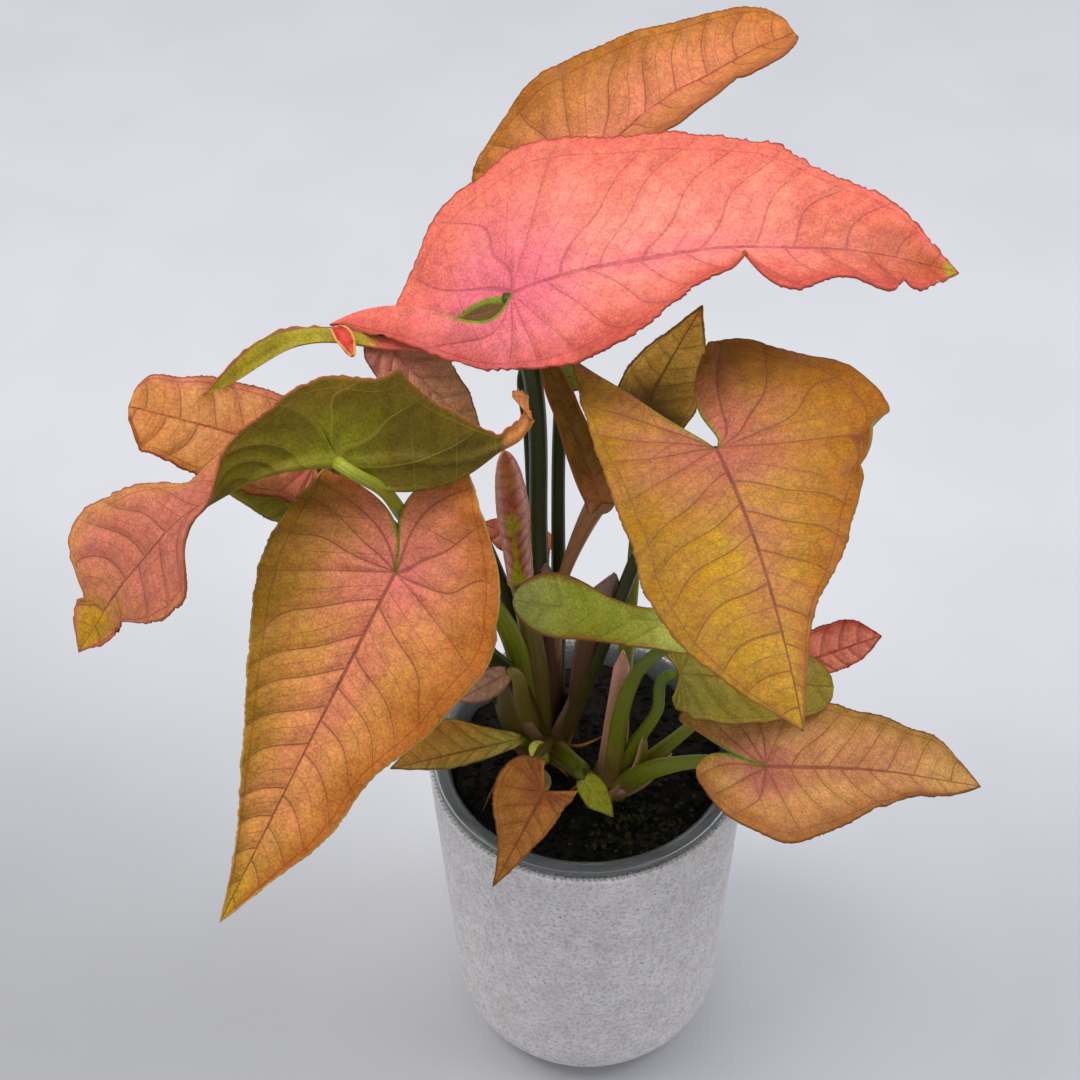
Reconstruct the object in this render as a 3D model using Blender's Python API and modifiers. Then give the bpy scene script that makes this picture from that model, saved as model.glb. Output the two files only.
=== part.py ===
# Arrowhead plant: pink and copper arrow-shaped leaves on green petioles,
# growing from two shoots in a clear nursery pot that stands inside a concrete cover pot.
# Sizes below are millimetres, with +Z up, -Y to the front and the origin under the pot's centre.

from math import cos, pi, radians, sin

import bmesh
import bpy
from mathutils import Vector

MM = 0.001
CLEARANCE = 0.3

# Concrete cover pot
POT_HEIGHT = 89.5
POT_TOP_RADIUS = 36.0
POT_BASE_RADIUS = 32.0
POT_WALL = 2.4
POT_FLOOR = 4.0
POT_BASE_ROUND = 13.0
POT_LIP_ROUND = 1.0
POT_SIDES = 36

# Clear nursery pot, hung by its rim on the cover pot's lip
RIM_HEIGHT = 92.0
RIM_RADIUS = 35.0
RIM_DROP = 1.9
RIM_BEVEL = 0.6
LINER_TOP_RADIUS = 32.0
LINER_BASE_RADIUS = 24.0
LINER_WALL = 0.8
LINER_FOOT = 9.0
LINER_BEVEL = 1.0

# Soil and the crowns that stand in it
SOIL_LEVEL = 86.0
SOIL_BUMP = 0.9
CROWN_DEPTH = 8.0
CROWN_RISE = 9.0
CROWN_RADIUS = 4.6
CROWN_TAPER = 0.8
SOIL_RINGS = 6
CROWN_SIDES = 12
HOLE_SIDES = 16
CROWNS = {"left": (-9, 5), "right": (5, -8)}

# Leaf blades
BLADE = 0.7
LEAF_ROUGHNESS = 0.5
VEIN_SWEEP = 0.15
# A blade gets (lobe rows, blade rows, columns) by its half width, which is at least the first number
ROWS = ((12, (5, 10, 4)), (7, (3, 6, 3)), (0, (2, 5, 2)))

# Colours of the upper faces, as red, green and blue shares of full brightness in sRGB
TONES = {
    "pink": (0.79, 0.45, 0.41),
    "copper": (0.72, 0.45, 0.27),
    "gold": (0.74, 0.56, 0.31),
    "tan": (0.68, 0.50, 0.37),
    "olive": (0.50, 0.44, 0.15),
    "green": (0.55, 0.60, 0.26),
}

# Each leaf is set by its tone, its joint with the petiole, its tip, the way its upper face
# looks, its half widths at even steps from joint to tip, and its basal lobes as (back, out, up,
# inner bow, outer bow, ahead). Left and right are those of someone looking from joint to tip.
# bow lifts the middle of the midrib, twist turns the blade along it, fold raises each half,
# curl rolls its edge up, and wave is (height, count, phase) of the ripples along the edge.
# tail lists the points of the narrow strip that the left lobe of the big leaf runs out into.
LEAVES = {
    "leaf_top_back": dict(
        tone="copper", joint=(-1, 42, 217), tip=(41, 49, 243), face=(0, -0.3, 1), bow=(0, -1, 4),
        left=(18, 19, 17, 14, 10.5), right=(20, 22, 19, 16.5, 14), fold=((10,), (38,)),
        lobes=((21, 11, 0, 0, 4, 0), (12, 10, 0, 0, 5, 0)), wave=(0.8, 3, 0.2)),
    "leaf_big_pink": dict(
        tone="pink", joint=(-14, 0, 220), tip=(66, -4, 225), face=(0, -0.1, 1), bow=(0, 0, 8),
        left=(23, 24.5, 22.5, 14.5), right=(20, 20.5, 18, 16, 13, 11),
        fold=((20,), (-12, -8, -5, 14, 42, 8, 16, 12, 0)),
        lobes=((37, 1, 4, -3, 4, 10), (34, 1.5, 5, -3, 4, 12)), wave=(0.7, 4, 0.0),
        tail=((-55, 3, 209), (-63, 4, 204), (-70, 5, 198), (-74, 5, 194))),
    "leaf_twisted_left": dict(
        tone="olive", joint=(-45, -30, 207), tip=(-95, -40, 170), face=(0, 0.95, -0.3), bow=(0, 1, 11),
        left=(13, 12, 9, 8, 11, 9), right=(8, 10, 9, 6, 9, 13),
        twist=(0, -10, -65, -115, -135, -140), fold=((0,), (80, 40, 0, 0)),
        lobes=((33, 4, 4, 12, 6, 0), (3, 3, 0, 0, 1, 0)), wave=(0.6, 4, 0.4)),
    "leaf_copper_left": dict(
        tone="gold", joint=(-51, -14, 192), tip=(-85, -12, 206), face=(0, -0.5, 0.85), bow=(0, 0, 1),
        left=(8, 8, 8, 7), right=(10, 9, 8, 7), wave=(0.4, 3, 0.1)),
    "leaf_pale_left": dict(
        tone="green", joint=(-48.4, -18, 183), tip=(-70.4, -20, 194), face=(0, -0.5, 0.85),
        left=(5, 5, 4, 2), right=(6, 6, 4, 2), wave=(0.3, 3, 0.5)),
    "leaf_behind_left": dict(
        tone="tan", joint=(-38, 2, 208), tip=(-20, -6, 190), face=(0, -0.6, 0.8),
        left=(9, 10, 9, 5), right=(9, 9, 8, 5), wave=(0.4, 3, 0.3)),
    "leaf_front_left": dict(
        tone="copper", joint=(-36, -34, 183), tip=(-70, -76, 135), face=(0.1, -0.6, 0.75), bow=(0, -1, 1),
        left=(23.5, 21, 13, 8), right=(23.5, 20.5, 13, 5), fold=((6,), (6,)),
        lobes=((23, 1, 3, 0, 8, 0), (16, 17, 2, 0, 8, 0)), wave=(0.7, 4, 0.6)),
    "leaf_right": dict(
        tone="gold", joint=(22, -26, 204), tip=(33, -78, 188), face=(0, -0.3, 1), bow=(1, 0, 3),
        left=(26, 23.5, 13, 3), right=(20, 20, 19.5, 13), fold=((4,), (4,)),
        lobes=((23, 4, 3, 3, 11, 1), (24, 20, 0, 0, 0, 8)), wave=(0.8, 4, 0.8)),
    "leaf_olive_behind": dict(
        tone="olive", joint=(10, 0, 189), tip=(21, 0, 216), face=(0, -0.6, 0.8), bow=(0, 0, 1),
        left=(8, 9, 8, 4), right=(9, 9, 8, 4), wave=(0.5, 3, 0.2)),
    "leaf_rolled": dict(
        tone="olive", joint=(3, 0, 167), tip=(-9, 2, 207), face=(0, -0.7, 0.7),
        left=(4, 4.5, 4.5, 3), right=(4, 4.5, 4.5, 3), curl=(110, 110)),
    "leaf_low_right": dict(
        tone="tan", joint=(36, -28, 118), tip=(83, -26, 109), face=(0, -0.3, 1), bow=(0, 0, 2),
        left=(14, 14, 12, 8), right=(15, 15.5, 11, 6), fold=((6,), (4,)),
        lobes=((18, 13, 0, 0, 6, 0), (15, 2, 0, 0, 8, 0)), wave=(0.6, 4, 0.3)),
    "leaf_pink_right": dict(
        tone="pink", joint=(45, -8, 127), tip=(61, -8, 135), face=(0, -0.5, 0.85),
        left=(5, 6, 6, 5), right=(3, 4, 4, 3), wave=(0.2, 3, 0.3)),
    "leaf_green_under": dict(
        tone="green", joint=(20, -28, 160), tip=(-15, -28, 169), face=(0, -0.5, 0.85),
        left=(4, 4, 5, 6), right=(3, 3, 3, 5.5), wave=(0.5, 2, 0.1)),
    "leaf_olive_right": dict(
        tone="olive", joint=(18, -21, 139), tip=(51, -14, 126), face=(0, -0.5, 0.85),
        left=(9, 9, 8, 5), right=(9, 9, 8, 5), lobes=((6, 8, 0, 0, 3, 0), (2, 8, 0, 0, 3, 0)),
        wave=(0.4, 3, 0.7)),
    "leaf_small_front": dict(
        tone="copper", joint=(-10, -33, 117), tip=(-21, -44, 100), face=(0.1, -0.6, 0.75),
        left=(5, 5, 3.5, 2), right=(10, 9, 5, 2),
        lobes=((3.5, 6, 0, 0, 0, 2), (6, 3, 0, 0, 6, 0)), wave=(0.3, 3, 0.1)),
    "leaf_small_green": dict(
        tone="green", joint=(-1, -18, 102), tip=(5, -22, 94), face=(0, -0.6, 0.8),
        left=(2.5, 3, 2.5, 1.5), right=(2.5, 3, 3, 1.5)),
    "leaf_low_left": dict(
        tone="copper", joint=(-15, -6, 102), tip=(-43, -16, 105), face=(0, -0.5, 0.85),
        left=(1.5, 2.5, 3, 2), right=(1.5, 4.5, 8, 5), wave=(0.3, 3, 0.2)),
    "leaf_small_tan": dict(
        tone="tan", joint=(-17.5, -15, 133.5), tip=(-27.5, -19, 130), face=(0, -0.5, 0.85),
        left=(2, 3, 3, 2), right=(2, 3, 3, 2)),
    "leaf_new_centre": dict(
        tone="pink", joint=(-14, -4, 149), tip=(-16, -6, 187), face=(0, -0.7, 0.7),
        left=(3, 3.6, 3.6, 2.5), right=(3, 3.6, 3.6, 2.5), curl=(90, 60)),
    "leaf_small_orange": dict(
        tone="pink", joint=(-8, 16, 138), tip=(-22, 14, 149), face=(0, -0.6, 0.8),
        left=(4, 4, 4, 3), right=(4, 4, 4, 3)),
    "leaf_under_pink": dict(
        tone="olive", joint=(-14, 12, 193), tip=(0, 10, 189), face=(0, -0.5, 0.85),
        left=(3, 3, 3, 2), right=(3, 3, 3, 2)),
}

# Petioles: the leaf at the top, the crown or point they rise from, the points between in order,
# and the radius at even steps from root to top. Each ends just under its leaf's joint.
PETIOLES = {
    "left": {
        "leaf_big_pink": (((-9, 4, 88), (-8, 4, 120), (-12, 2, 193)), (2.4, 1.6, 1.5, 1.1)),
        "leaf_top_back": (((-8, 6, 88), (-7, 8, 131), (-6, 16, 176)), (2.4, 1.6, 1.5, 1.1)),
        "leaf_twisted_left": (((-11, 3, 88), (-17, -8, 136), (-32, -20, 176), (-34.5, -27, 190),
                               (-37, -33, 198)), (3.2, 1.8, 1.3, 1.1, 1.0)),
        "leaf_copper_left": (((-11, 5, 88), (-24, 0, 131), (-46, -3, 176)), (2.4, 1.4, 1.1, 0.8)),
        "leaf_pale_left": (((-11, 5, 88), (-26, -4, 125), (-43, -12, 162)), (2.0, 1.2, 1.0, 0.8)),
        "leaf_behind_left": (((-10, 6, 88), (-17, 4, 137), (-30, 6, 180)), (2.2, 1.4, 1.1, 0.9)),
        "leaf_front_left": (((-10, 2, 88), (-16, -5, 121), (-29, -20, 156)), (2.8, 1.7, 1.3, 1.1)),
        "leaf_right": (((-7, 4, 90), (-3, 0, 104), (4, -5, 134), (10, -9, 162), (18, -18, 190)),
                       (3.0, 1.7, 1.5, 1.3, 1.2, 1.1)),
        "leaf_rolled": (((-8, 6, 88), (-7, 3, 125), (-5, 2, 144)), (2.2, 1.5, 1.3, 1.0)),
        "leaf_low_left": (((-11, 4, 92), (-13, -1, 98)), (2.0, 1.5, 1.0)),
        "leaf_small_tan": (((-11, 3, 90), (-14, -5, 112)), (2.6, 1.6, 0.8)),
        "leaf_new_centre": (((-10, 3, 88), (-11, 0, 118)), (2.8, 2.4, 1.0)),
        "leaf_small_orange": (((-9, 6, 88), (-9, 12, 118)), (2.2, 1.2, 0.7)),
        "leaf_under_pink": (((-8, 8, 140), (-12, 10, 170)), (1.3, 1.1, 0.7)),
        "leaf_small_front": (((-9, 3, 91), (-10, -8, 101), (-11, -22, 117)), (2.2, 1.4, 1.3, 1.0)),
        "leaf_small_green": (((-8, 2, 91), (-4, -6, 95), (-1, -12, 98)), (2.0, 1.6, 1.2, 0.7)),
    },
    "right": {
        "leaf_olive_behind": (((5, -8, 88), (8, -6, 131), (10, -1, 165)), (2.2, 1.5, 1.1, 0.9)),
        "leaf_low_right": (((6, -9, 88), (16, -21, 110), (27, -26, 117)), (3.0, 1.6, 1.3, 1.1)),
        "leaf_pink_right": (((7, -8, 88), (17, -9, 102), (30, -4, 111)), (2.4, 1.4, 1.1, 0.7)),
        "leaf_green_under": (((5, -9, 88), (8, -17, 130), (14, -26, 152)), (2.6, 1.5, 1.2, 0.9)),
        "leaf_olive_right": (((6, -8, 88), (12, -15, 119), (16, -20, 132)), (2.4, 1.4, 1.2, 0.9)),
    },
}

# Sheaths that wrap the foot of a petiole and stand free at the tip: points, then radii
SHEATHS = {
    "left": (
        (((-11, 3, 88), (-15, 1, 106), (-18, -1, 126)), (4.4, 3.4, 0.7)),
        (((-8, 5, 88), (-4, 3, 106), (1, -1, 130)), (3.6, 2.4, 0.6)),
        (((-3, 0, 106), (1, -4, 138), (3, -4, 151)), (1.9, 2.4, 0.6)),
    ),
    "right": (
        (((5, -8, 88), (6, -10, 112), (7, -11, 137)), (2.8, 2.0, 0.8)),
        (((6, -9, 88), (10, -13, 103), (11, -15, 117)), (3.2, 2.2, 0.6)),
        (((6, -9, 88), (12, -14, 99), (17, -17, 110)), (3.0, 2.0, 0.6)),
    ),
}
SEAT = BLADE / 2 + CLEARANCE + 0.3
APPROACH = 3.0
PATH_STEPS = 3

# The tail's width at even steps from lobe to tip, and the way that its upper edge stands
TAIL_WIDTHS = (2.6, 3.4, 3.6, 2.4, 0)
TAIL_RISE = Vector((0, 0.7, 0.7))
TAIL_ROWS = 6


def bezier(points, t):
    while len(points) > 1:
        points = [a.lerp(b, t) for a, b in zip(points, points[1:])]
    return points[0]


def through(values, t):
    """Smooth curve through evenly spaced numbers."""
    last = len(values) - 1
    if last == 0:
        return values[0]
    x = min(max(t, 0), 1) * last
    i = min(int(x), last - 1)
    s = x - i
    a = values[i]
    b = values[i + 1]
    leave = (b - values[i - 1]) / 2 if i > 0 else b - a
    arrive = (values[i + 2] - a) / 2 if i + 2 <= last else b - a
    return ((2 * s**3 - 3 * s * s + 1) * a + (s**3 - 2 * s * s + s) * leave
            + (3 * s * s - 2 * s**3) * b + (s**3 - s * s) * arrive)


class Blade:
    """The middle surface of one leaf, worked out from its sizes."""

    def __init__(self, spec):
        self.joint = Vector(spec["joint"])
        self.tip = Vector(spec["tip"])
        chord = (self.tip - self.joint).normalized()
        face = Vector(spec["face"])
        self.up = (face - chord * face.dot(chord)).normalized()
        middle = (self.joint + self.tip) / 2 + Vector(spec.get("bow", (0, 0, 0))) * 2
        self.spine = [self.joint, middle, self.tip]
        self.twist = spec.get("twist", (0,))
        self.half = {-1: spec["left"] + (0,), 1: spec["right"] + (0,)}
        self.fold = dict(zip((-1, 1), spec.get("fold", ((0,), (0,)))))
        self.curl = dict(zip((-1, 1), spec.get("curl", (0, 0))))
        self.wave = spec.get("wave", (0, 1, 0))
        self.tail = [Vector(p) for p in spec.get("tail", ())]
        plain = [self.plain_lobe(side) for side in (-1, 1)]
        self.lobe = dict(zip((-1, 1), spec.get("lobes", plain)))

    def plain_lobe(self, side):
        """A short round lobe in scale with the blade."""
        base = self.half[side][0]
        return 0.3 * base, 0.5 * base, 0, 0, 0.45 * base, 0

    def frame(self, t):
        """Point on the midrib, its direction, the upper face's normal and the way to the right."""
        step = 0.01
        ahead = bezier(self.spine, min(t + step, 1))
        along = (ahead - bezier(self.spine, max(t - step, 0))).normalized()
        up = (self.up - along * self.up.dot(along)).normalized()
        side = along.cross(up)
        a = radians(through(self.twist, t))
        return bezier(self.spine, t), along, up * cos(a) + side * sin(a), side * cos(a) - up * sin(a)

    def ripple(self, m, u, side):
        height, count, phase = self.wave
        return height * u * u * sin(2 * pi * (count * m + phase + 0.18 * side))

    def ahead(self, along_rib, u, side):
        """Blade in front of the joint: a vein leaves the midrib at along_rib, u runs to the edge."""
        t = along_rib + VEIN_SWEEP * u * (1 - along_rib)
        p, along, up, across = self.frame(t)
        width = max(through(self.half[side], t), 0)
        fold = radians(through(self.fold[side], t))
        curl = radians(self.curl[side])
        if curl:
            out = (sin(fold + curl * u) - sin(fold)) / curl
            lift = (cos(fold) - cos(fold + curl * u)) / curl
        else:
            out = u * cos(fold)
            lift = u * sin(fold)
        fade = min(1, 3 * (1 - t))
        return p + across * side * width * out + up * (width * lift + self.ripple(t, u, side) * fade)

    def behind(self, v, u, side):
        """Basal lobe: v runs from the vein through the joint to the lobe's tip."""
        back, out, lift, inner, outer, forward = self.lobe[side]
        joint, along, up, across = self.frame(0)
        end = joint - along * back + across * side * out + up * lift
        half = across * side * self.tail_width(0, side) / 2
        rim = self.ahead(0, 1, side)
        flow = (rim - self.ahead(0.1, 1, side)).normalized() * (end - rim).length * 0.4
        bow = across * side * inner
        notch = [joint, (joint + end) / 2 - bow, end - bow / 2 - half, end - half]
        edge = [rim, rim + flow, end + across * side * outer + along * forward, end + half]
        flat = bezier(notch, v).lerp(bezier(edge, v), u)
        bulge = self.ahead(0, u, side) - joint.lerp(rim, u)
        start = self.ripple(VEIN_SWEEP * u, u, side)
        wave = self.ripple(VEIN_SWEEP * u * (1 - v) - 0.45 * v, u, side) - start * (1 - v)
        return flat + bulge * (1 - v) ** 1.5 + up * wave * min(1, 4 * (1 - v))

    def tail_width(self, s, side):
        return through(TAIL_WIDTHS, s) if self.tail and side < 0 else 0

    def strip(self, s, u, side):
        """The lobe's tail: s runs from the lobe's end to the tail's tip."""
        back, out, lift = self.lobe[side][:3]
        joint, along, up, across = self.frame(0)
        path = [joint - along * back + across * side * out + up * lift, *self.tail]
        centre = Vector([through([p[axis] for p in path], s) for axis in range(3)])
        width = (across * side).lerp(TAIL_RISE, min(1, 2 * s)).normalized()
        return centre + width * self.tail_width(s, side) * (u - 0.5)

    def point(self, row, u, side, lobe_rows, blade_rows):
        """Rows count from the joint: below zero in the lobe, then in its tail."""
        if row < -lobe_rows:
            return self.strip((-row - lobe_rows) / TAIL_ROWS, u, side)
        if row < 0:
            return self.behind(-row / lobe_rows, u, side)
        return self.ahead(row / blade_rows, u, side)


def linear(colour):
    return tuple(((c + 0.055) / 1.055) ** 2.4 for c in colour)


def new_material(name, colour, roughness, metallic=0.0, transmission=0.0):
    material = bpy.data.materials.new(name)
    material.use_nodes = True
    shader = material.node_tree.nodes["Principled BSDF"]
    shader.inputs["Base Color"].default_value = (*colour, 1)
    shader.inputs["Roughness"].default_value = roughness
    shader.inputs["Metallic"].default_value = metallic
    shader.inputs["Transmission Weight"].default_value = transmission
    return material


def new_object(name, mesh, collection, material=None):
    obj = bpy.data.objects.new(name, mesh)
    collection.objects.link(obj)
    if material:
        mesh.materials.append(material)
    return obj


def mesh_from(bm, name):
    mesh = bpy.data.meshes.new(name)
    bm.to_mesh(mesh)
    bm.free()
    return mesh


def apply_modifiers(obj):
    """Replaces the object's mesh by its evaluated one."""
    depsgraph = bpy.context.evaluated_depsgraph_get()
    mesh = bpy.data.meshes.new_from_object(obj.evaluated_get(depsgraph))
    obj.modifiers.clear()
    obj.data = mesh


def turned(name, profile, collection, material):
    """Turns a closed profile of (radius, height) points, given down its outer side, about Z."""
    bm = bmesh.new()
    verts = [bm.verts.new((r * MM, 0, z * MM)) for r, z in profile]
    for a, b in zip(verts, verts[1:]):
        bm.edges.new((a, b))
    if profile[0][0] > 0:
        bm.edges.new((verts[-1], verts[0]))
    obj = new_object(name, mesh_from(bm, name), collection, material)
    screw = obj.modifiers.new("turn", "SCREW")
    screw.steps = POT_SIDES
    screw.render_steps = POT_SIDES
    screw.use_merge_vertices = True
    screw.merge_threshold = 0.00001
    return obj


def arc(centre, radius, start, end, count):
    """Points of a rounding from angle start to end, in degrees from +X towards +Z."""
    angles = [radians(start + (end - start) * i / count) for i in range(count + 1)]
    return [(centre[0] + radius * cos(a), centre[1] + radius * sin(a)) for a in angles]


def cover_pot_profile():
    lean = (POT_TOP_RADIUS - POT_BASE_RADIUS) / POT_HEIGHT
    lip = POT_LIP_ROUND
    outer_lip = (POT_TOP_RADIUS - lip, POT_HEIGHT - lip)
    inner_lip = (POT_TOP_RADIUS - POT_WALL + lip, POT_HEIGHT - lip)
    heel = (POT_BASE_RADIUS - POT_BASE_ROUND + lean * POT_BASE_ROUND, POT_BASE_ROUND)
    inside_round = POT_BASE_ROUND - POT_WALL
    inside_heel = (heel[0], POT_FLOOR + inside_round)
    outside = arc(outer_lip, lip, 90, 0, 2) + arc(heel, POT_BASE_ROUND, 0, -90, 6) + [(0, 0)]
    inside = [(0, POT_FLOOR)] + arc(inside_heel, inside_round, -90, 0, 4) + arc(inner_lip, lip, 180, 90, 2)
    return outside + inside


def liner_radius(height):
    share = (height - LINER_FOOT) / (RIM_HEIGHT - LINER_FOOT)
    return LINER_BASE_RADIUS + (LINER_TOP_RADIUS - LINER_BASE_RADIUS) * share


def nursery_pot_profile():
    wall = LINER_WALL
    bevel = RIM_BEVEL
    under = RIM_HEIGHT - wall - bevel
    low = RIM_HEIGHT - RIM_DROP
    foot = LINER_FOOT
    heel = foot + LINER_BEVEL
    rim = [(LINER_TOP_RADIUS, RIM_HEIGHT), (RIM_RADIUS - bevel, RIM_HEIGHT), (RIM_RADIUS, RIM_HEIGHT - bevel),
           (RIM_RADIUS, low), (RIM_RADIUS - wall, low), (RIM_RADIUS - wall - bevel / 2, under)]
    outside = [(liner_radius(under), under), (LINER_BASE_RADIUS, heel),
               (LINER_BASE_RADIUS - LINER_BEVEL, foot), (0, foot)]
    inside = [(0, foot + wall), (LINER_BASE_RADIUS - wall - LINER_BEVEL, foot + wall),
              (LINER_BASE_RADIUS - wall, heel + wall), (LINER_TOP_RADIUS - wall, RIM_HEIGHT - bevel)]
    return rim + outside + inside


def soil_height(x, y):
    """Crumbly top of the soil, in millimetres."""
    rough = sin(0.55 * x + 1.0) * cos(0.47 * y) + 0.6 * sin(0.9 * y - 0.4 * x + 2.0)
    return SOIL_LEVEL + SOIL_BUMP * rough


def make_soil(collection, material):
    gap = CLEARANCE + LINER_WALL
    low = LINER_FOOT + LINER_WALL + CLEARANCE
    edge = liner_radius(SOIL_LEVEL) - gap
    top = [(edge * k / SOIL_RINGS, SOIL_LEVEL) for k in range(SOIL_RINGS + 1)]
    bottom = [(liner_radius(low) - gap - LINER_BEVEL, low), (0, low)]
    soil = turned("soil", top + bottom, collection, material)
    apply_modifiers(soil)
    for vert in soil.data.vertices:
        if vert.co.z > (SOIL_LEVEL - 1) * MM:
            vert.co.z = soil_height(vert.co.x / MM, vert.co.y / MM) * MM
    return soil


def bore_soil(soil, cutters):
    """Plain holes in which the crowns stand."""
    radius = (CROWN_RADIUS + CLEARANCE) * MM
    depth = 2 * (CROWN_DEPTH + CLEARANCE) * MM
    for name, (x, y) in CROWNS.items():
        bm = bmesh.new()
        bmesh.ops.create_cone(bm, cap_ends=True, segments=HOLE_SIDES, radius1=radius, radius2=radius,
                              depth=depth)
        hole = new_object("hole_" + name, mesh_from(bm, "hole_" + name), cutters)
        hole.location = (x * MM, y * MM, SOIL_LEVEL * MM)
        hole.hide_render = True
        hole.display_type = "WIRE"
        cut = soil.modifiers.new("hole_" + name, "BOOLEAN")
        cut.operation = "DIFFERENCE"
        cut.object = hole


def tube(name, points, radii, collection):
    """A closed tube through the points, its radius changing smoothly from root to top."""
    curve = bpy.data.curves.new(name, "CURVE")
    curve.dimensions = "3D"
    curve.bevel_depth = MM
    curve.bevel_resolution = 1
    curve.resolution_u = PATH_STEPS
    curve.use_fill_caps = True
    spline = curve.splines.new("BEZIER")
    spline.bezier_points.add(len(points) - 1)
    for i, (knot, point) in enumerate(zip(spline.bezier_points, points)):
        knot.co = Vector(point) * MM
        knot.handle_left_type = "AUTO"
        knot.handle_right_type = "AUTO"
        knot.radius = through(radii, i / (len(points) - 1))
    guide = bpy.data.objects.new(name, curve)
    collection.objects.link(guide)
    depsgraph = bpy.context.evaluated_depsgraph_get()
    mesh = bpy.data.meshes.new_from_object(guide.evaluated_get(depsgraph))
    bpy.data.objects.remove(guide)
    bm = bmesh.new()
    bm.from_mesh(mesh)
    bmesh.ops.remove_doubles(bm, verts=bm.verts, dist=0.000001)
    bmesh.ops.recalc_face_normals(bm, faces=bm.faces)
    bm.to_mesh(mesh)
    bm.free()
    return new_object(name, mesh, collection)


def unite(obj, pieces):
    """Fuses a collection of pieces into the object."""
    union = obj.modifiers.new("fuse", "BOOLEAN")
    union.operation = "UNION"
    union.operand_type = "COLLECTION"
    union.collection = pieces
    apply_modifiers(obj)
    for piece in list(pieces.objects):
        bpy.data.objects.remove(piece)
    bpy.data.collections.remove(pieces)


def make_blade(name, spec, collection, material):
    """Two half blades, each a grid whose rows follow the side veins, welded along the midrib."""
    blade = Blade(spec)
    widest = max(spec["left"] + spec["right"])
    lobe_rows, blade_rows, columns = next(grid for width, grid in ROWS if widest >= width)
    bm = bmesh.new()
    for side in (-1, 1):
        behind = lobe_rows + (TAIL_ROWS if blade.tail and side < 0 else 0)
        rows = behind + blade_rows
        grid = bmesh.ops.create_grid(bm, x_segments=rows, y_segments=columns, size=0.5)
        for vert in grid["verts"]:
            row = round((vert.co.x + 0.5) * rows) - behind
            u = vert.co.y + 0.5
            vert.co = blade.point(row, u, side, lobe_rows, blade_rows) * MM
        if side > 0:
            faces = {face for vert in grid["verts"] for face in vert.link_faces}
            bmesh.ops.reverse_faces(bm, faces=list(faces))
    bmesh.ops.remove_doubles(bm, verts=bm.verts, dist=0.00001)
    bmesh.ops.triangulate(bm, faces=bm.faces)
    leaf = new_object(name, mesh_from(bm, name), collection, material)
    skin = leaf.modifiers.new("thickness", "SOLIDIFY")
    skin.thickness = BLADE * MM
    skin.offset = 0
    return leaf


def seat_under(spec):
    """The last two points of a petiole, which comes up square to the blade and ends just clear of it."""
    blade = Blade(spec)
    _, along, up, _ = blade.frame(0)
    end = blade.joint - up * SEAT
    return tuple(end - up * APPROACH - along * APPROACH / 2), tuple(end)


def make_shoot(side, collection, material):
    """Crown, petioles and sheaths of one shoot, grown together."""
    pieces = bpy.data.collections.new("shoot_pieces")
    bpy.context.scene.collection.children.link(pieces)
    for leaf, (points, radii) in PETIOLES[side].items():
        tube(leaf + "_petiole", [*points, *seat_under(LEAVES[leaf])], radii, pieces)
    for points, radii in SHEATHS[side]:
        tube("sheath", points, radii, pieces)
    bm = bmesh.new()
    height = CROWN_DEPTH + CROWN_RISE
    bmesh.ops.create_cone(bm, cap_ends=True, segments=CROWN_SIDES, radius1=CROWN_RADIUS * CROWN_TAPER * MM,
                          radius2=CROWN_RADIUS * MM, depth=height * MM)
    centre = Vector((*CROWNS[side], SOIL_LEVEL - CROWN_DEPTH + height / 2)) * MM
    bmesh.ops.translate(bm, verts=bm.verts, vec=centre)
    name = "shoot_" + side
    shoot = new_object(name, mesh_from(bm, name), collection, material)
    unite(shoot, pieces)
    return shoot


# Anything the file opened with is removed first
for leftover in list(bpy.data.objects):
    bpy.data.objects.remove(leftover, do_unlink=True)

plant = bpy.data.collections.new("arrowhead_plant")
bpy.context.scene.collection.children.link(plant)
holes = bpy.data.collections.new("holes")
bpy.context.scene.collection.children.link(holes)

concrete = new_material("concrete", linear((0.76, 0.75, 0.75)), 0.9)
turned("cover_pot", cover_pot_profile(), plant, concrete)
clear = new_material("clear_plastic", linear((0.80, 0.82, 0.82)), 0.15, transmission=0.8)
turned("nursery_pot", nursery_pot_profile(), plant, clear)
dark_soil = new_material("soil", linear((0.13, 0.12, 0.10)), 0.95)
soil = make_soil(plant, dark_soil)
bore_soil(soil, holes)

green = new_material("petiole_green", linear((0.33, 0.46, 0.14)), 0.4)
for side in CROWNS:
    make_shoot(side, plant, green)

for name, spec in LEAVES.items():
    make_blade(name, spec, plant, new_material(name, linear(TONES[spec["tone"]]), LEAF_ROUGHNESS))
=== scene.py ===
from math import cos, pi, radians, sin

import bmesh
import bpy
import numpy as np
from mathutils import Euler, Matrix, Vector


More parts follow.
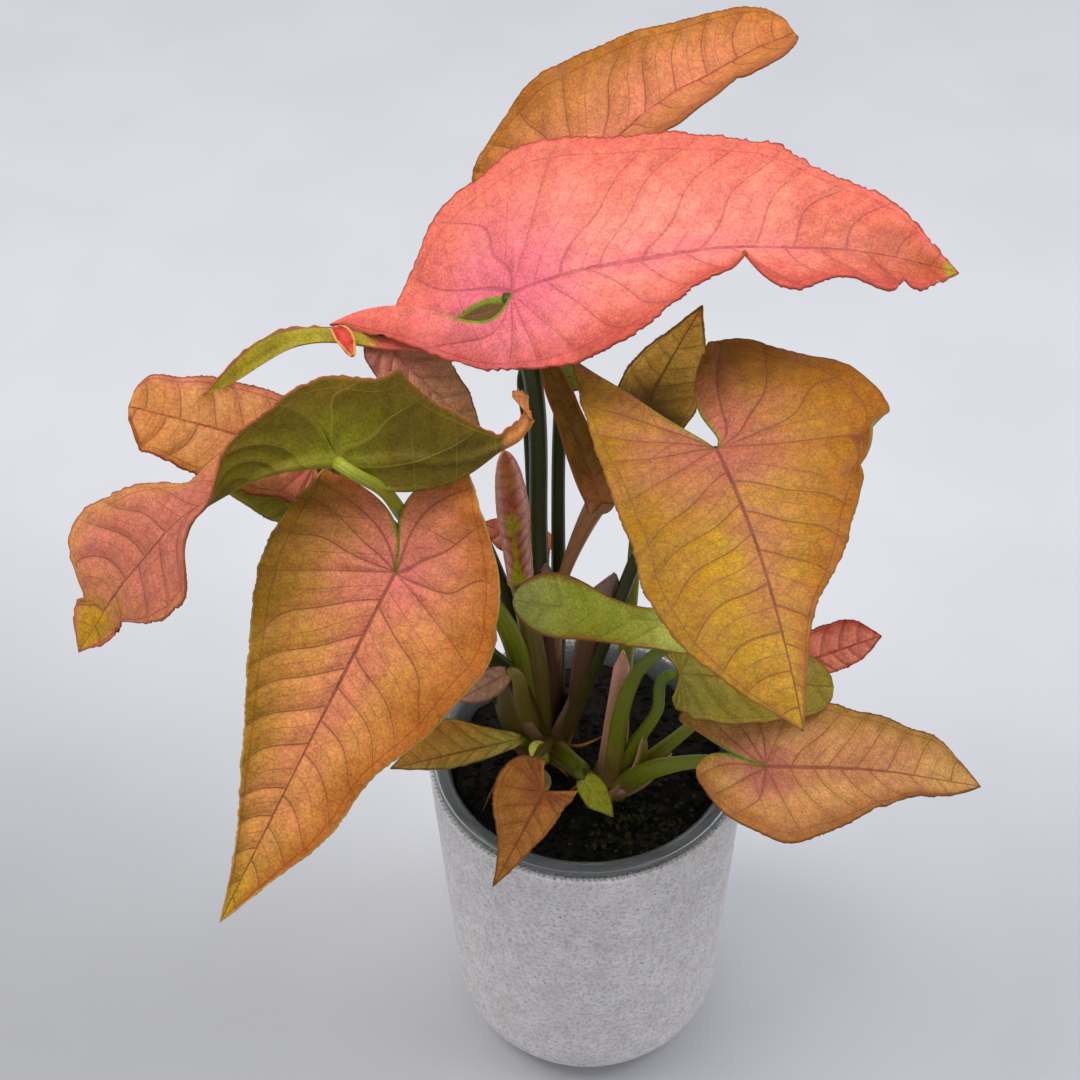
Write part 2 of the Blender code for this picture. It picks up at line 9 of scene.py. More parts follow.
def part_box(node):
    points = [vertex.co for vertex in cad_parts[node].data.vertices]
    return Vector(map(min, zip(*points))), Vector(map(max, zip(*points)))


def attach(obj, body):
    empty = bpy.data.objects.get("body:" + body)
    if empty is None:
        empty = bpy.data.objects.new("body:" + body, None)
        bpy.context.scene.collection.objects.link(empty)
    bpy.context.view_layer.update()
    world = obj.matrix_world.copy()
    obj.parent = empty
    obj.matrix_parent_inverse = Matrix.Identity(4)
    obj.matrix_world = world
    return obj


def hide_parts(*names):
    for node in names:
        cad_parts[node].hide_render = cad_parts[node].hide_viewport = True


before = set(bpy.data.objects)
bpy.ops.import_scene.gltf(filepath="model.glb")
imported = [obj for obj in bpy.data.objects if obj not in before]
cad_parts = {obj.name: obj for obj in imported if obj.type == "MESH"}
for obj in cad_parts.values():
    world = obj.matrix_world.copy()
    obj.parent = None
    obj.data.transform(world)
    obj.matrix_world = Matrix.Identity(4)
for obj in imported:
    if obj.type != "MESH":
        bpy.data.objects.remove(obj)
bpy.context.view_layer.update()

# Arrowhead plant in a clear nursery pot and a concrete cover pot. Sizes are millimetres, and
# MM turns them into the scene's metres. +Z is up and -Y is the front. A colour is written as
# six hex digits, two each for red, green and blue as the eye reads them.
MM = 0.001


# Cover pot
# A small pot of cast concrete, whose mould gave it a straight taper and a rounded foot.
# Air bubbles left pits in its skin, darkened with painted shade, and the sand in the mix shows as dark and
# rusty specks.
POT_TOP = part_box("cover_pot")[1].x / MM
POT_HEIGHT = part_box("cover_pot")[1].z / MM
POT_BASE = 32.0
POT_WALL = 2.4
POT_FLOOR = 4.0
POT_FOOT_ROUND = 13.0
POT_LIP_ROUND = 1.0
POT_SIDES = 180
POT_RINGS = 36
NEAR = 0.1


def linear(colour):
    """The linear values that shaders take, with full opacity."""
    return (*[((c / 255 + 0.055) / 1.055) ** 2.4 for c in bytes.fromhex(colour)], 1)


def mode(name):
    bpy.ops.object.mode_set(mode=name)


def deselect():
    bpy.ops.object.select_all(action="DESELECT")


def select_only(*objects):
    deselect()
    for obj in objects:
        obj.select_set(True)
    bpy.context.view_layer.objects.active = objects[0]


def named(name):
    """Names the object that was just added, and gives it back."""
    bpy.context.object.name = name
    return bpy.context.object


def place(obj):
    """Puts the object's place into its mesh, so that it sits at the origin."""
    select_only(obj)
    bpy.ops.object.transform_apply(location=True, rotation=True, scale=True)


def pick(obj, kind, test):
    """In edit mode, selects just the verts, edges or faces whose middle and rise pass the test."""
    bpy.ops.mesh.select_all(action="DESELECT")
    bm = bmesh.from_edit_mesh(obj.data)
    for part in getattr(bm, kind):
        corners = [part] if kind == "verts" else part.verts
        middle = sum((v.co for v in corners), Vector()) / len(corners) / MM
        rise = max(v.co.z for v in corners) - min(v.co.z for v in corners)
        if test(middle, rise / MM):
            part.select_set(True)
    bmesh.update_edit_mesh(obj.data)


def pick_ring(obj, height, radius):
    """Selects the level edges at a height that lie outside a radius."""
    pick(obj, "edges", lambda middle, rise: rise < NEAR and abs(middle.z - height) < NEAR
         and middle.xy.length > radius)


def scale_ring(share, height):
    """Draws what is selected in or out round the upright axis."""
    bpy.ops.transform.resize(value=(share, share, 1), center_override=(0, 0, height * MM))


def apply_modifier(obj, kind, **settings):
    """Adds a modifier, sets it and applies it."""
    modifier = obj.modifiers.new(kind.lower(), kind)
    for key, value in settings.items():
        setattr(modifier, key, value)
    bpy.context.view_layer.objects.active = obj
    bpy.ops.object.modifier_apply(modifier=modifier.name)


def cloud(name, size, depth=2):
    texture = bpy.data.textures.new(name, "CLOUDS")
    texture.noise_scale = size * MM
    texture.noise_depth = depth
    return texture


def settle(obj, *materials, slot, nodes=()):
    """Dresses a finished piece, sets what it rides on and hides the solids that it stands for."""
    for material in materials:
        obj.data.materials.append(material)
    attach(obj, "root")
    if nodes:
        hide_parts(*nodes)


class Value:
    """One output of a node. Working with it adds the nodes that do the same sum."""

    def __init__(self, wiring, socket):
        self.wiring = wiring
        self.socket = socket

    def __add__(self, other):
        return self.wiring.math("ADD", self, other)

    def __sub__(self, other):
        return self.wiring.math("SUBTRACT", self, other)

    def __rsub__(self, other):
        return self.wiring.math("SUBTRACT", other, self)

    def __mul__(self, other):
        return self.wiring.math("MULTIPLY", self, other)

    def __truediv__(self, other):
        return self.wiring.math("DIVIDE", self, other)

    def __abs__(self):
        return self.wiring.math("ABSOLUTE", self)


class Wiring:
    """A node tree under construction: each call adds a node and gives back one of its outputs."""

    def __init__(self, tree):
        self.tree = tree

    def feed(self, socket, value):
        """Links a value to a socket, or sets the socket to a plain number, vector or colour."""
        if isinstance(value, Value):
            self.tree.links.new(value.socket, socket)
        else:
            socket.default_value = linear(value) if isinstance(value, str) else value

    def node(self, kind, inputs=None, output=0, **settings):
        node = self.tree.nodes.new(kind)
        for key, value in settings.items():
            setattr(node, key, value)
        for key, value in (inputs or {}).items():
            self.feed(node.inputs[key], value)
        return Value(self, node.outputs[output])

    def math(self, operation, a, b=0.0):
        return self.node("ShaderNodeMath", {0: a, 1: b}, operation=operation)

    def highest(self, *values):
        top = values[0]
        for value in values[1:]:
            top = self.math("MAXIMUM", top, value)
        return top

    def from_whole(self, value):
        """How far a number is from the nearest whole one."""
        return self.math("PINGPONG", value, 0.5)

    def step(self, value, low, high, start=0.0, end=1.0):
        """Goes smoothly from start at low to end at high."""
        keys = {"Value": value, "From Min": low, "From Max": high, "To Min": start, "To Max": end}
        return self.node("ShaderNodeMapRange", keys, interpolation_type="SMOOTHSTEP")

    def mix(self, share, a, b, blend="MIX"):
        return self.node("ShaderNodeMix", {0: share, 6: a, 7: b}, 2, data_type="RGBA", blend_type=blend)

    def object_place(self):
        return self.node("ShaderNodeTexCoord", output="Object")

    def noise(self, where, size, detail=2.0, rough=0.5, output=0):
        keys = {"Vector": where, "Scale": 1 / (size * MM), "Detail": detail, "Roughness": rough}
        return self.node("ShaderNodeTexNoise", keys, output)

    def cells(self, where, size, feature="F1"):
        keys = {"Vector": where, "Scale": 1 / (size * MM)}
        return self.node("ShaderNodeTexVoronoi", keys, "Distance", feature=feature)

    def parts(self, vector):
        """The three numbers of a vector."""
        node = self.node("ShaderNodeSeparateXYZ", {0: vector}).socket.node
        return [Value(self, output) for output in node.outputs]

    def attribute(self, name):
        return self.parts(self.node("ShaderNodeAttribute", output="Vector", attribute_name=name))

    def dress(self, colour, roughness, shine=0.5, height=None, strength=0.5, depth=0.2, sunk=False):
        """Feeds the material's shader, with its relief as a height, and gives it back."""
        shader = self.tree.nodes["Principled BSDF"]
        self.feed(shader.inputs["Base Color"], colour)
        self.feed(shader.inputs["Roughness"], roughness)
        self.feed(shader.inputs["Specular IOR Level"], shine)
        if height:
            keys = {"Height": height, "Strength": strength, "Distance": depth * MM}
            self.feed(shader.inputs["Normal"], self.node("ShaderNodeBump", keys, invert=sunk))
        return shader


def new_material(name):
    """An empty material and the wiring to fill it."""
    material = bpy.data.materials.new(name)
    material.use_nodes = True
    return material, Wiring(material.node_tree)


def concrete_material():
    material, wire = new_material("cast_concrete")
    where = wire.object_place()
    cloudy = wire.noise(where, 6, 4, 0.65)
    grain = wire.noise(where, 0.9, 3, 0.7)
    tint = wire.noise(where, 1.4, 3, 0.7)
    pits = wire.step(wire.cells(where, 2.6) - cloudy * 0.35, -0.07, -0.13)
    colour = wire.mix(wire.step(cloudy, 0.3, 0.7), "d6d2d1", "e8e4e3")
    colour = wire.mix(wire.step(grain, 0.55, 0.35) * 0.5, colour, "928e8f")
    colour = wire.mix(wire.step(tint, 0.54, 0.74, 0.0, 0.5), colour, "ceb0aa")
    colour = wire.mix(wire.step(tint, 0.46, 0.26, 0.0, 0.4), colour, "b0acc4")
    # Painted shade: the pits are darkened towards 605a5c, as if shaded inside.
    colour = wire.mix(pits * 0.7, colour, "605a5c")
    wire.dress(colour, 0.92, 0.25, grain - pits * 1.5, 0.6, 0.25)
    return material


def make_cover_pot():
    deselect()
    bpy.ops.mesh.primitive_cylinder_add(vertices=POT_SIDES, radius=POT_BASE * MM, depth=POT_HEIGHT * MM,
                                        location=(0, 0, POT_HEIGHT / 2 * MM))
    pot = named("concrete_pot")
    place(pot)
    mode("EDIT")
    pick(pot, "verts", lambda middle, _: middle.z > POT_HEIGHT - NEAR)
    scale_ring(POT_TOP / POT_BASE, POT_HEIGHT)
    bpy.ops.mesh.select_mode(type="FACE")
    pick(pot, "faces", lambda middle, rise: middle.z > POT_HEIGHT - NEAR and rise < NEAR)
    bpy.ops.mesh.inset(thickness=POT_WALL * MM)
    sink = (0, 0, (POT_FLOOR - POT_HEIGHT) * MM)
    bpy.ops.mesh.extrude_region_move(TRANSFORM_OT_translate={"value": sink})
    scale_ring((POT_BASE - POT_WALL) / (POT_TOP - POT_WALL), POT_FLOOR)
    bpy.ops.mesh.select_mode(type="EDGE")
    pick_ring(pot, 0, 0)
    bpy.ops.mesh.bevel(offset=POT_FOOT_ROUND * MM, segments=14)
    pick_ring(pot, POT_FLOOR, POT_BASE - POT_WALL - NEAR)
    bpy.ops.mesh.bevel(offset=(POT_FOOT_ROUND - POT_WALL) * MM, segments=8)
    pick_ring(pot, POT_HEIGHT, POT_TOP - POT_WALL - NEAR)
    bpy.ops.mesh.bevel(offset=POT_LIP_ROUND * MM, segments=4)
    pick(pot, "edges", lambda _, rise: rise > POT_HEIGHT / 2)
    bpy.ops.mesh.subdivide(number_cuts=POT_RINGS)
    mode("OBJECT")
    apply_modifier(pot, "DISPLACE", texture=cloud("pot_dents", 9), strength=0.25 * MM, mid_level=0.9)
    bpy.ops.object.shade_smooth()
    return pot


settle(make_cover_pot(), concrete_material(), slot="concrete", nodes=["cover_pot"])


# Nursery pot
# A thin pot of clear plastic, formed from one sheet. Only its rim shows: a flat ring with a
# turned-down edge, which hangs on the concrete lip.
RIM_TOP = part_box("nursery_pot")[1].z / MM
RIM_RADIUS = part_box("nursery_pot")[1].x / MM
RIM_DROP = 1.9
RIM_ROUND = 0.5
LINER_RADIUS = 32.0
LINER_BASE = 24.0
LINER_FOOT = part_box("nursery_pot")[0].z / MM
LINER_WALL = 0.6


def liner_radius(height):
    share = (height - LINER_FOOT) / (RIM_TOP - LINER_FOOT)
    return LINER_BASE + (LINER_RADIUS - LINER_BASE) * share


def clear_plastic():
    material, wire = new_material("clear_plastic")
    scuffs = wire.noise(wire.object_place(), 2.5, 4, 0.7)
    shader = wire.dress("ced3d5", wire.step(scuffs, 0.3, 0.8, 0.06, 0.22), 0.5, scuffs, 0.1, 0.2)
    shader.inputs["Transmission Weight"].default_value = 0.88
    shader.inputs["IOR"].default_value = 1.45
    return material


def weld(gap, outward=True):
    """Merges the active object's points that lie within a gap, and turns its faces outward."""
    mode("EDIT")
    bpy.ops.mesh.select_all(action="SELECT")
    bpy.ops.mesh.remove_doubles(threshold=gap * MM)
    if outward:
        bpy.ops.mesh.normals_make_consistent(inside=False)
    mode("OBJECT")


def from_mesh(name, *lists):
    """A new object from lists of points, edges and faces."""
    mesh = bpy.data.meshes.new(name)
    mesh.from_pydata(*lists)
    obj = bpy.data.objects.new(name, mesh)
    bpy.context.collection.objects.link(obj)
    return obj


def make_nursery_pot():
    """The sheet's outline from the turned-down edge to the floor, spun round and given its wall."""
    half = LINER_WALL / 2
    top = RIM_TOP - half
    edge = RIM_RADIUS - half
    corner = [(edge - RIM_ROUND + RIM_ROUND * cos(a), top - RIM_ROUND + RIM_ROUND * sin(a))
              for a in np.linspace(0, pi / 2, 5)]
    dip = [(LINER_RADIUS + 0.9, top), (LINER_RADIUS + 0.4, top - 0.15), (LINER_RADIUS - 0.2, top - 0.7)]
    wall = [(liner_radius(z) - half, z) for z in np.linspace(top - 2.5, LINER_FOOT + 2, 10)]
    floor = LINER_FOOT + half
    foot = [(LINER_BASE - 0.9, LINER_FOOT + 0.5), (LINER_BASE - 2, floor), (0, floor)]
    outline = [(edge, RIM_TOP - RIM_DROP + half), *corner, *dip, *wall, *foot]
    points = [(r * MM, 0, z * MM) for r, z in outline]
    pot = from_mesh("clear_pot", points, [(i, i + 1) for i in range(len(points) - 1)], [])
    place(pot)
    mode("EDIT")
    bpy.ops.mesh.select_all(action="SELECT")
    bpy.ops.mesh.spin(steps=POT_SIDES, angle=2 * pi, center=(0, 0, 0), axis=(0, 0, 1))
    weld(0.01)
    apply_modifier(pot, "SOLIDIFY", thickness=LINER_WALL * MM, offset=0)
    bpy.ops.object.shade_smooth()
    return pot


settle(make_nursery_pot(), clear_plastic(), slot="clear_plastic", nodes=["nursery_pot"])


# Soil
# Dark moist peat, pressed level on top, with loose crumbs and a tint of moss at the front right.
# It fills the clear pot to just below the rim.
SOIL_LEVEL = 86.0
SOIL_BUMP = 0.9
SOIL_GAP = 0.6
SOIL_SIDES = 96
SOIL_RINGS = 30
SOIL_SINK = 0.5
TOP_LAYER = 4
CRUMBS = 900
SMALLEST_CRUMB = 0.25
CRUMB_SINK = 0.3
LOOSE_EDGE = liner_radius(SOIL_LEVEL) - 2.5


def soil_height(x, y):
    rough = sin(0.55 * x + 1.0) * cos(0.47 * y) + 0.6 * sin(0.9 * y - 0.4 * x + 2.0)
    return SOIL_LEVEL + SOIL_BUMP * rough


def soil_radius(height):
    return liner_radius(height) - LINER_WALL - SOIL_GAP


def peat_material():
    material, wire = new_material("moist_peat")
    where = wire.object_place()
    crumbs = wire.noise(where, 1.6, 5, 0.7)
    right, back, _ = wire.parts(where)
    mossy = wire.step(back, -10 * MM, -22 * MM) * wire.step(right, -12 * MM, 6 * MM)
    patches = wire.step(wire.noise(where, 3.5, 4, 0.75), 0.52, 0.68)
    colour = wire.mix(wire.step(crumbs, 0.4, 0.75), "060603", "241e12")
    wire.dress(wire.mix(mossy * patches, colour, "3a3a1a"), 0.9, 0.2, crumbs, 0.9, 0.6)
    return material


def join(first, *others):
    select_only(first, *others)
    bpy.ops.object.join()
    return first


def make_soil():
    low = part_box("soil")[0].z / MM
    depth = SOIL_LEVEL - low
    radius = soil_radius(SOIL_LEVEL)
    deselect()
    bpy.ops.mesh.primitive_cylinder_add(vertices=SOIL_SIDES, radius=radius * MM, depth=depth * MM,
                                        location=(0, 0, (low + depth / 2) * MM))
    fill = named("peat")
    place(fill)
    mode("EDIT")
    pick(fill, "verts", lambda middle, _: middle.z < low + NEAR)
    scale_ring(soil_radius(low) / radius, low)
    bpy.ops.mesh.select_mode(type="FACE")
    pick(fill, "faces", lambda middle, rise: middle.z > SOIL_LEVEL - NEAR and rise < NEAR)
    for _ in range(SOIL_RINGS):
        bpy.ops.mesh.inset(thickness=radius / (SOIL_RINGS + 1) * MM)
    bpy.ops.mesh.poke()
    mode("OBJECT")
    for vert in fill.data.vertices:
        x, y, z = vert.co / MM
        if z > SOIL_LEVEL - NEAR:
            vert.co.z = (soil_height(x, y) - SOIL_SINK) * MM
    group = fill.vertex_groups.new(name="top")
    group.add([v.index for v in fill.data.vertices if v.co.z > (SOIL_LEVEL - TOP_LAYER) * MM], 1, "ADD")
    apply_modifier(fill, "DISPLACE", texture=cloud("peat_crumbs", 1.8, 4), strength=2.2 * MM,
                   mid_level=0.5, direction="Z", vertex_group="top")
    return fill


def scatter(name, pattern, places, sizes, stretch, draw, tilt=1.0):
    """Copies of a small shape in one mesh, each turned at random. A small tilt keeps them upright."""
    shape = np.array([v.co for v in pattern.data.vertices])
    faces = [np.array(p.vertices) for p in pattern.data.polygons]
    bpy.data.objects.remove(pattern)
    points = []
    corners = []
    for i, (place_mm, size) in enumerate(zip(places, sizes)):
        turn = Euler((*draw.normal(0, tilt, 2), draw.uniform(0, 2 * pi))).to_matrix()
        copy = shape * size * draw.uniform(*stretch, 3) @ np.array(turn).T
        points.append(copy + np.array(place_mm) * MM)
        corners += [(face + i * len(shape)).tolist() for face in faces]
    return from_mesh(name, np.concatenate(points).tolist(), [], corners)


def make_crumbs(draw):
    """Loose crumbs of peat, each a small ball pressed out of round, laid over the soil."""
    deselect()
    bpy.ops.mesh.primitive_ico_sphere_add(subdivisions=2, radius=MM)
    crumb = named("crumb")
    apply_modifier(crumb, "DISPLACE", texture=cloud("crumb", 0.8), strength=0.7 * MM)
    sizes = SMALLEST_CRUMB + (1 - SMALLEST_CRUMB) * draw.random(CRUMBS) ** 2
    places = []
    for size in sizes:
        r = LOOSE_EDGE * draw.random() ** 0.5
        a = 2 * pi * draw.random()
        x = r * cos(a)
        y = r * sin(a)
        places.append((x, y, soil_height(x, y) - CRUMB_SINK * size))
    return scatter("crumbs", crumb, places, sizes, (0.7, 1.2), draw)


peat = join(make_soil(), make_crumbs(np.random.default_rng(5)))
bpy.ops.object.shade_smooth()
settle(peat, peat_material(), slot="soil", nodes=["soil"])


# Leaf blades
# Each leaf is one thin arrow-shaped blade, pink to copper above and green below, which hangs from
# its petiole at the notch between two basal lobes. Side veins leave the midrib and meet a vein
# that runs along the finely toothed margin.
BLADE = 0.42
RIB_DEPTH = 1.3
RIB_WIDTH = 0.9
RIB_TAPER = 0.65
LOBE_RIB_WIDTH = 0.8
LOBE_RIB_OUT = 0.28
VEIN_SWEEP = 0.15
VEIN_LEAD = 0.4
VEIN_GAP = 7.0
VEIN_VALLEY = 1.7
FAN_VEINS = 3.8
EDGE_VEIN_OUT = 0.86
ROWS_PER_MM = 1.5
LOBE_ROWS_PER_MM = 1.6
COLUMNS_PER_MM = 0.8
TAIL_ROWS = 30
CRUMPLE_SIZES = (52, 31, 19, 12)
APPROACH = 3.0
# Painted shade in the hollow beside the big leaf's joint: half its width, its way from the joint and half
# its length
POCKET_OUT = 5.5
POCKET_PLACE = 8.5
POCKET_REACH = 6.5
# A net of fine veins is the size of its cells, its lines' width in cells and its strength
VEIN_NETS = ((3.6, 0.05, 0.7), (1.5, 0.1, 0.35))
LEAF_COLOURS = ("body", "patch", "lobe", "tip", "left_edge", "right_edge", "joint", "notch", "vein", "rim",
                "spot", "pocket")
LEAF_NUMBERS = {"patches": 0.5, "tip_from": 0.55, "edge_from": 0.55, "halo": 16, "centre": 0.3, "band": 6,
                "notch_mm": 1, "veins": 0.7, "net": 0.4, "spots": 0, "pocketed": 0}
seats = {}


def hermite(a, b, leave, arrive, s):
    """From a to b, setting off along leave and coming in along arrive."""
    return ((2 * s**3 - 3 * s * s + 1) * a + (s**3 - 2 * s * s + s) * leave
            + (3 * s * s - 2 * s**3) * b + (s**3 - s * s) * arrive)


def through(values, t):
    """Smooth curve through evenly spaced numbers or points, at each t from 0 to 1."""
    values = np.array(values, float)
    t = np.asarray(t, float)
    last = len(values) - 1
    if last == 0:
        return np.broadcast_to(values[0], t.shape + values.shape[1:])
    x = np.clip(t, 0, 1) * last
    i = np.minimum(x.astype(int), last - 1)
    s = x - i
    first = i == 0
    final = i + 2 > last
    if values.ndim > 1:
        s, first, final = s[..., None], first[..., None], final[..., None]
    a = values[i]
    b = values[i + 1]
    leave = np.where(first, b - a, (b - values[np.maximum(i - 1, 0)]) / 2)
    arrive = np.where(final, b - a, (values[np.minimum(i + 2, last)] - a) / 2)
    return hermite(a, b, leave, arrive, s)


def bezier(points, t):
    points = [np.array(p, float) for p in points]
    t = np.asarray(t, float)[..., None]
    while len(points) > 1:
        points = [a * (1 - t) + b * t for a, b in zip(points, points[1:])]
    return points[0]


def unit(v):
    return v / (np.linalg.norm(v, axis=-1, keepdims=True) + 1e-12)


def bump_at(x, middle, spread):
    """1 at the middle, falling off smoothly to nothing."""
    return np.exp(-((x - middle) / spread) ** 2)


class Blade:
    """The middle surface of a leaf. joint and tip are the midrib's ends, face is the way that the
    upper side looks, and left and right are half widths at even steps from joint to tip, as seen
    by someone looking that way. A lobe is (back, out, up, inner bow, outer bow, ahead), and notch
    can give its inner edge two controls of its own, as (back, out, up). bow lifts the middle of
    the midrib, twist turns the blade along it, fold raises each half, curl rolls its edge up,
    wave is (height, count, phase) of the ripples along the edge, a nick is (side, where, depth,
    spread) of a sharp dip in it, below 0 on the lobe and with a depth below 0 for a peak, and blunt
    is the share of the length that rounds off at the tip."""

    def __init__(self, joint, tip, left, right, face=(0, -0.5, 0.85), bow=(0, 0, 0), fold=((0,), (0,)),
                 lobes=None, twist=(0,), curl=(0, 0), wave=(0, 1, 0), tail=(), tail_widths=(0,),
                 notch=(None, None), nicks=(), blunt=0):
        self.joint = np.array(joint, float)
        self.tip = np.array(tip, float)
        self.length = np.linalg.norm(self.tip - self.joint)
        chord = unit(self.tip - self.joint)
        face = np.array(face, float)
        self.up = unit(face - chord * face.dot(chord))
        self.spine = [self.joint, (self.joint + self.tip) / 2 + np.array(bow) * 2, self.tip]
        self.half = {side: (*widths, widths[-1] if blunt else 0)
                     for side, widths in ((-1, left), (1, right))}
        plain = [(0.3 * wide, 0.5 * wide, 0, 0, 0.45 * wide, 0) for wide in (left[0], right[0])]
        self.lobe, self.notch, self.fold, self.curl = [
            dict(zip((-1, 1), pair)) for pair in (lobes or plain, notch, fold, curl)]
        self.twist = twist
        self.wave = wave
        self.tail = tail
        self.tail_widths = tail_widths
        self.nicks = nicks
        self.blunt = blunt

    def frame(self, t):
        """Point on the midrib, its direction, the upper face's normal and the way to the right."""
        t = np.asarray(t, float)
        before = bezier(self.spine, np.maximum(t - 0.01, 0))
        along = unit(bezier(self.spine, np.minimum(t + 0.01, 1)) - before)
        up = unit(self.up - along * np.sum(along * self.up, axis=-1, keepdims=True))
        side = np.cross(along, up)
        a = np.radians(through(self.twist, t))[..., None]
        turned = up * np.cos(a) + side * np.sin(a)
        return bezier(self.spine, t), along, turned, side * np.cos(a) - up * np.sin(a)

    def ripple(self, along, u, side):
        height, count, phase = self.wave
        return height * u * u * np.sin(2 * pi * (count * along + phase + 0.18 * side))

    def nicked(self, where, side):
        """The share of the width that the nicks leave."""
        left = 1
        for nick_side, middle, depth, spread in self.nicks:
            if nick_side == side:
                left = left * (1 - depth * np.exp(-abs(where - middle) / spread))
        return left

    def ahead(self, along_rib, u, side):
        """Blade in front of the joint: a vein leaves the midrib at along_rib, u runs to the edge."""
        along_rib, u = np.broadcast_arrays(np.asarray(along_rib, float), np.asarray(u, float))
        t = along_rib + VEIN_SWEEP * u * (1 - along_rib)
        p, along, up, across = self.frame(t)
        width = np.maximum(through(self.half[side], t), 0)
        if self.blunt:
            width = width * np.sqrt(1 - np.clip((t - 1 + self.blunt) / self.blunt, 0, 1) ** 2)
        width = width * self.nicked(t, side)
        fold = np.radians(through(self.fold[side], t))
        curl = radians(self.curl[side])
        if curl:
            out = (np.sin(fold + curl * u) - np.sin(fold)) / curl
            lift = (np.cos(fold) - np.cos(fold + curl * u)) / curl
        else:
            out = u * np.cos(fold)
            lift = u * np.sin(fold)
        rise = width * lift + self.ripple(t, u, side) * np.minimum(1, 3 * (1 - t))
        return p + across * (side * width * out)[..., None] + up * rise[..., None]

    def from_joint(self, side, back, out, lift):
        joint, along, up, across = self.frame(0.0)
        return joint - along * back + across * side * out + up * lift

    def lobe_end(self, side):
        return self.from_joint(side, *self.lobe[side][:3])

    def behind(self, v, u, side):
        """Basal lobe: v runs from the vein through the joint to the lobe's tip."""
        inner, outer, forward = self.lobe[side][3:]
        joint, along, up, across = self.frame(0.0)
        end = self.lobe_end(side)
        half = across * side * self.tail_width(0.0, side) / 2
        rim = self.ahead(0.0, 1.0, side)
        flow = unit(rim - self.ahead(0.1, 1.0, side)) * np.linalg.norm(end - rim) * 0.4
        bow = across * side * inner
        notch = [joint, (joint + end) / 2 - bow, end - bow / 2 - half, end - half]
        if self.notch[side]:
            notch[1:3] = [self.from_joint(side, *control) for control in self.notch[side]]
        edge = [rim, rim + flow, end + across * side * outer + along * forward, end + half]
        v, u = np.broadcast_arrays(np.asarray(v, float), np.asarray(u, float))
        wide = (u * self.nicked(-v, side))[..., None]
        flat = bezier(notch, v) * (1 - wide) + bezier(edge, v) * wide
        bulge = self.ahead(0.0, u, side) - (joint * (1 - wide) + rim * wide)
        start = self.ripple(VEIN_SWEEP * u, u, side)
        wave = self.ripple(VEIN_SWEEP * u * (1 - v) - 0.45 * v, u, side) - start * (1 - v)
        wave = wave * np.minimum(1, 4 * (1 - v))
        return flat + bulge * (1 - v[..., None]) ** 1.5 + up * wave[..., None]

    def tail_width(self, s, side):
        return through(self.tail_widths, s) if self.tail and side < 0 else 0.0 * np.asarray(s)

    def strip(self, s, u, side):
        """The lobe's tail, a narrow strip: s runs from the lobe's end to the tail's tip."""
        across = self.frame(0.0)[3]
        centre = through([self.lobe_end(side), *self.tail], s)
        turn = np.minimum(1, 2 * s)[..., None]
        width = unit(across * side * (1 - turn) + np.array((0, 0.7, 0.7)) * turn)
        return centre + width * (self.tail_width(s, side) * (u - 0.5))[..., None]

    def seat(self):
        """The last two points of a petiole, which comes up square to the blade and ends under it."""
        _, along, up, _ = self.frame(0.0)
        end = self.joint - up * BLADE / 2
        return end - up * APPROACH - along * APPROACH / 2, end


def plain_grid(name, rows, columns):
    """A flat grid, and the row and the column that each of its points lies in."""
    deselect()
    bpy.ops.mesh.primitive_grid_add(x_subdivisions=rows, y_subdivisions=columns, size=2)
    grid = named(name)
    flat = np.array([v.co for v in grid.data.vertices])
    row = np.rint((flat[:, 0] + 1) / 2 * rows).astype(int)
    column = np.rint((flat[:, 1] + 1) / 2 * columns).astype(int)
    return grid, row, column


def lay(obj, points, **notes):
    """Moves an object's points, given in millimetres, and keeps three numbers on each by name."""
    obj.data.vertices.foreach_set("co", (points * MM).ravel())
    for name, numbers in notes.items():
        note = obj.data.attributes.new(name, "FLOAT_VECTOR", "POINT")
        note.data.foreach_set("vector", np.stack(numbers, -1).ravel())


def roll_margin(grid, u, share, reach, degrees):
    """Rolls the outer part of each row, from reach to the margin, by degrees times its share."""
    start = int(np.argmin(abs(u - reach)))
    foot = grid[:, start:start + 1]
    outward = grid[:, -1:] - foot
    length = np.linalg.norm(outward, axis=-1, keepdims=True)
    outward = unit(outward)
    normal = unit(np.cross(np.gradient(grid[:, start], axis=0)[:, None], outward))
    angle = np.radians(degrees * share)[:, None, None] + 1e-6
    x = ((u[start:] - u[start]) / (1 - u[start]))[None, :, None]
    bent = foot + length * (outward * np.sin(angle * x) + normal * (1 - np.cos(angle * x))) / angle
    grid[:, start:] = np.where(abs(angle) > 0.01, bent, grid[:, start:])
    return grid


def tooth_margin(grid, spans, ragged, draw):
    """Fine uneven teeth along the margin."""
    count = len(grid)
    teeth = draw.uniform(-1, 1, count) + through(draw.uniform(-1, 1, count // 4), np.linspace(0, 1, count))
    push = (teeth * ragged * np.minimum(1, spans / 4))[:, None]
    outward = unit(grid[:, -1] - grid[:, -2])
    grid[:, -1] += outward * push
    grid[:, -2] += outward * push / 2
    return grid


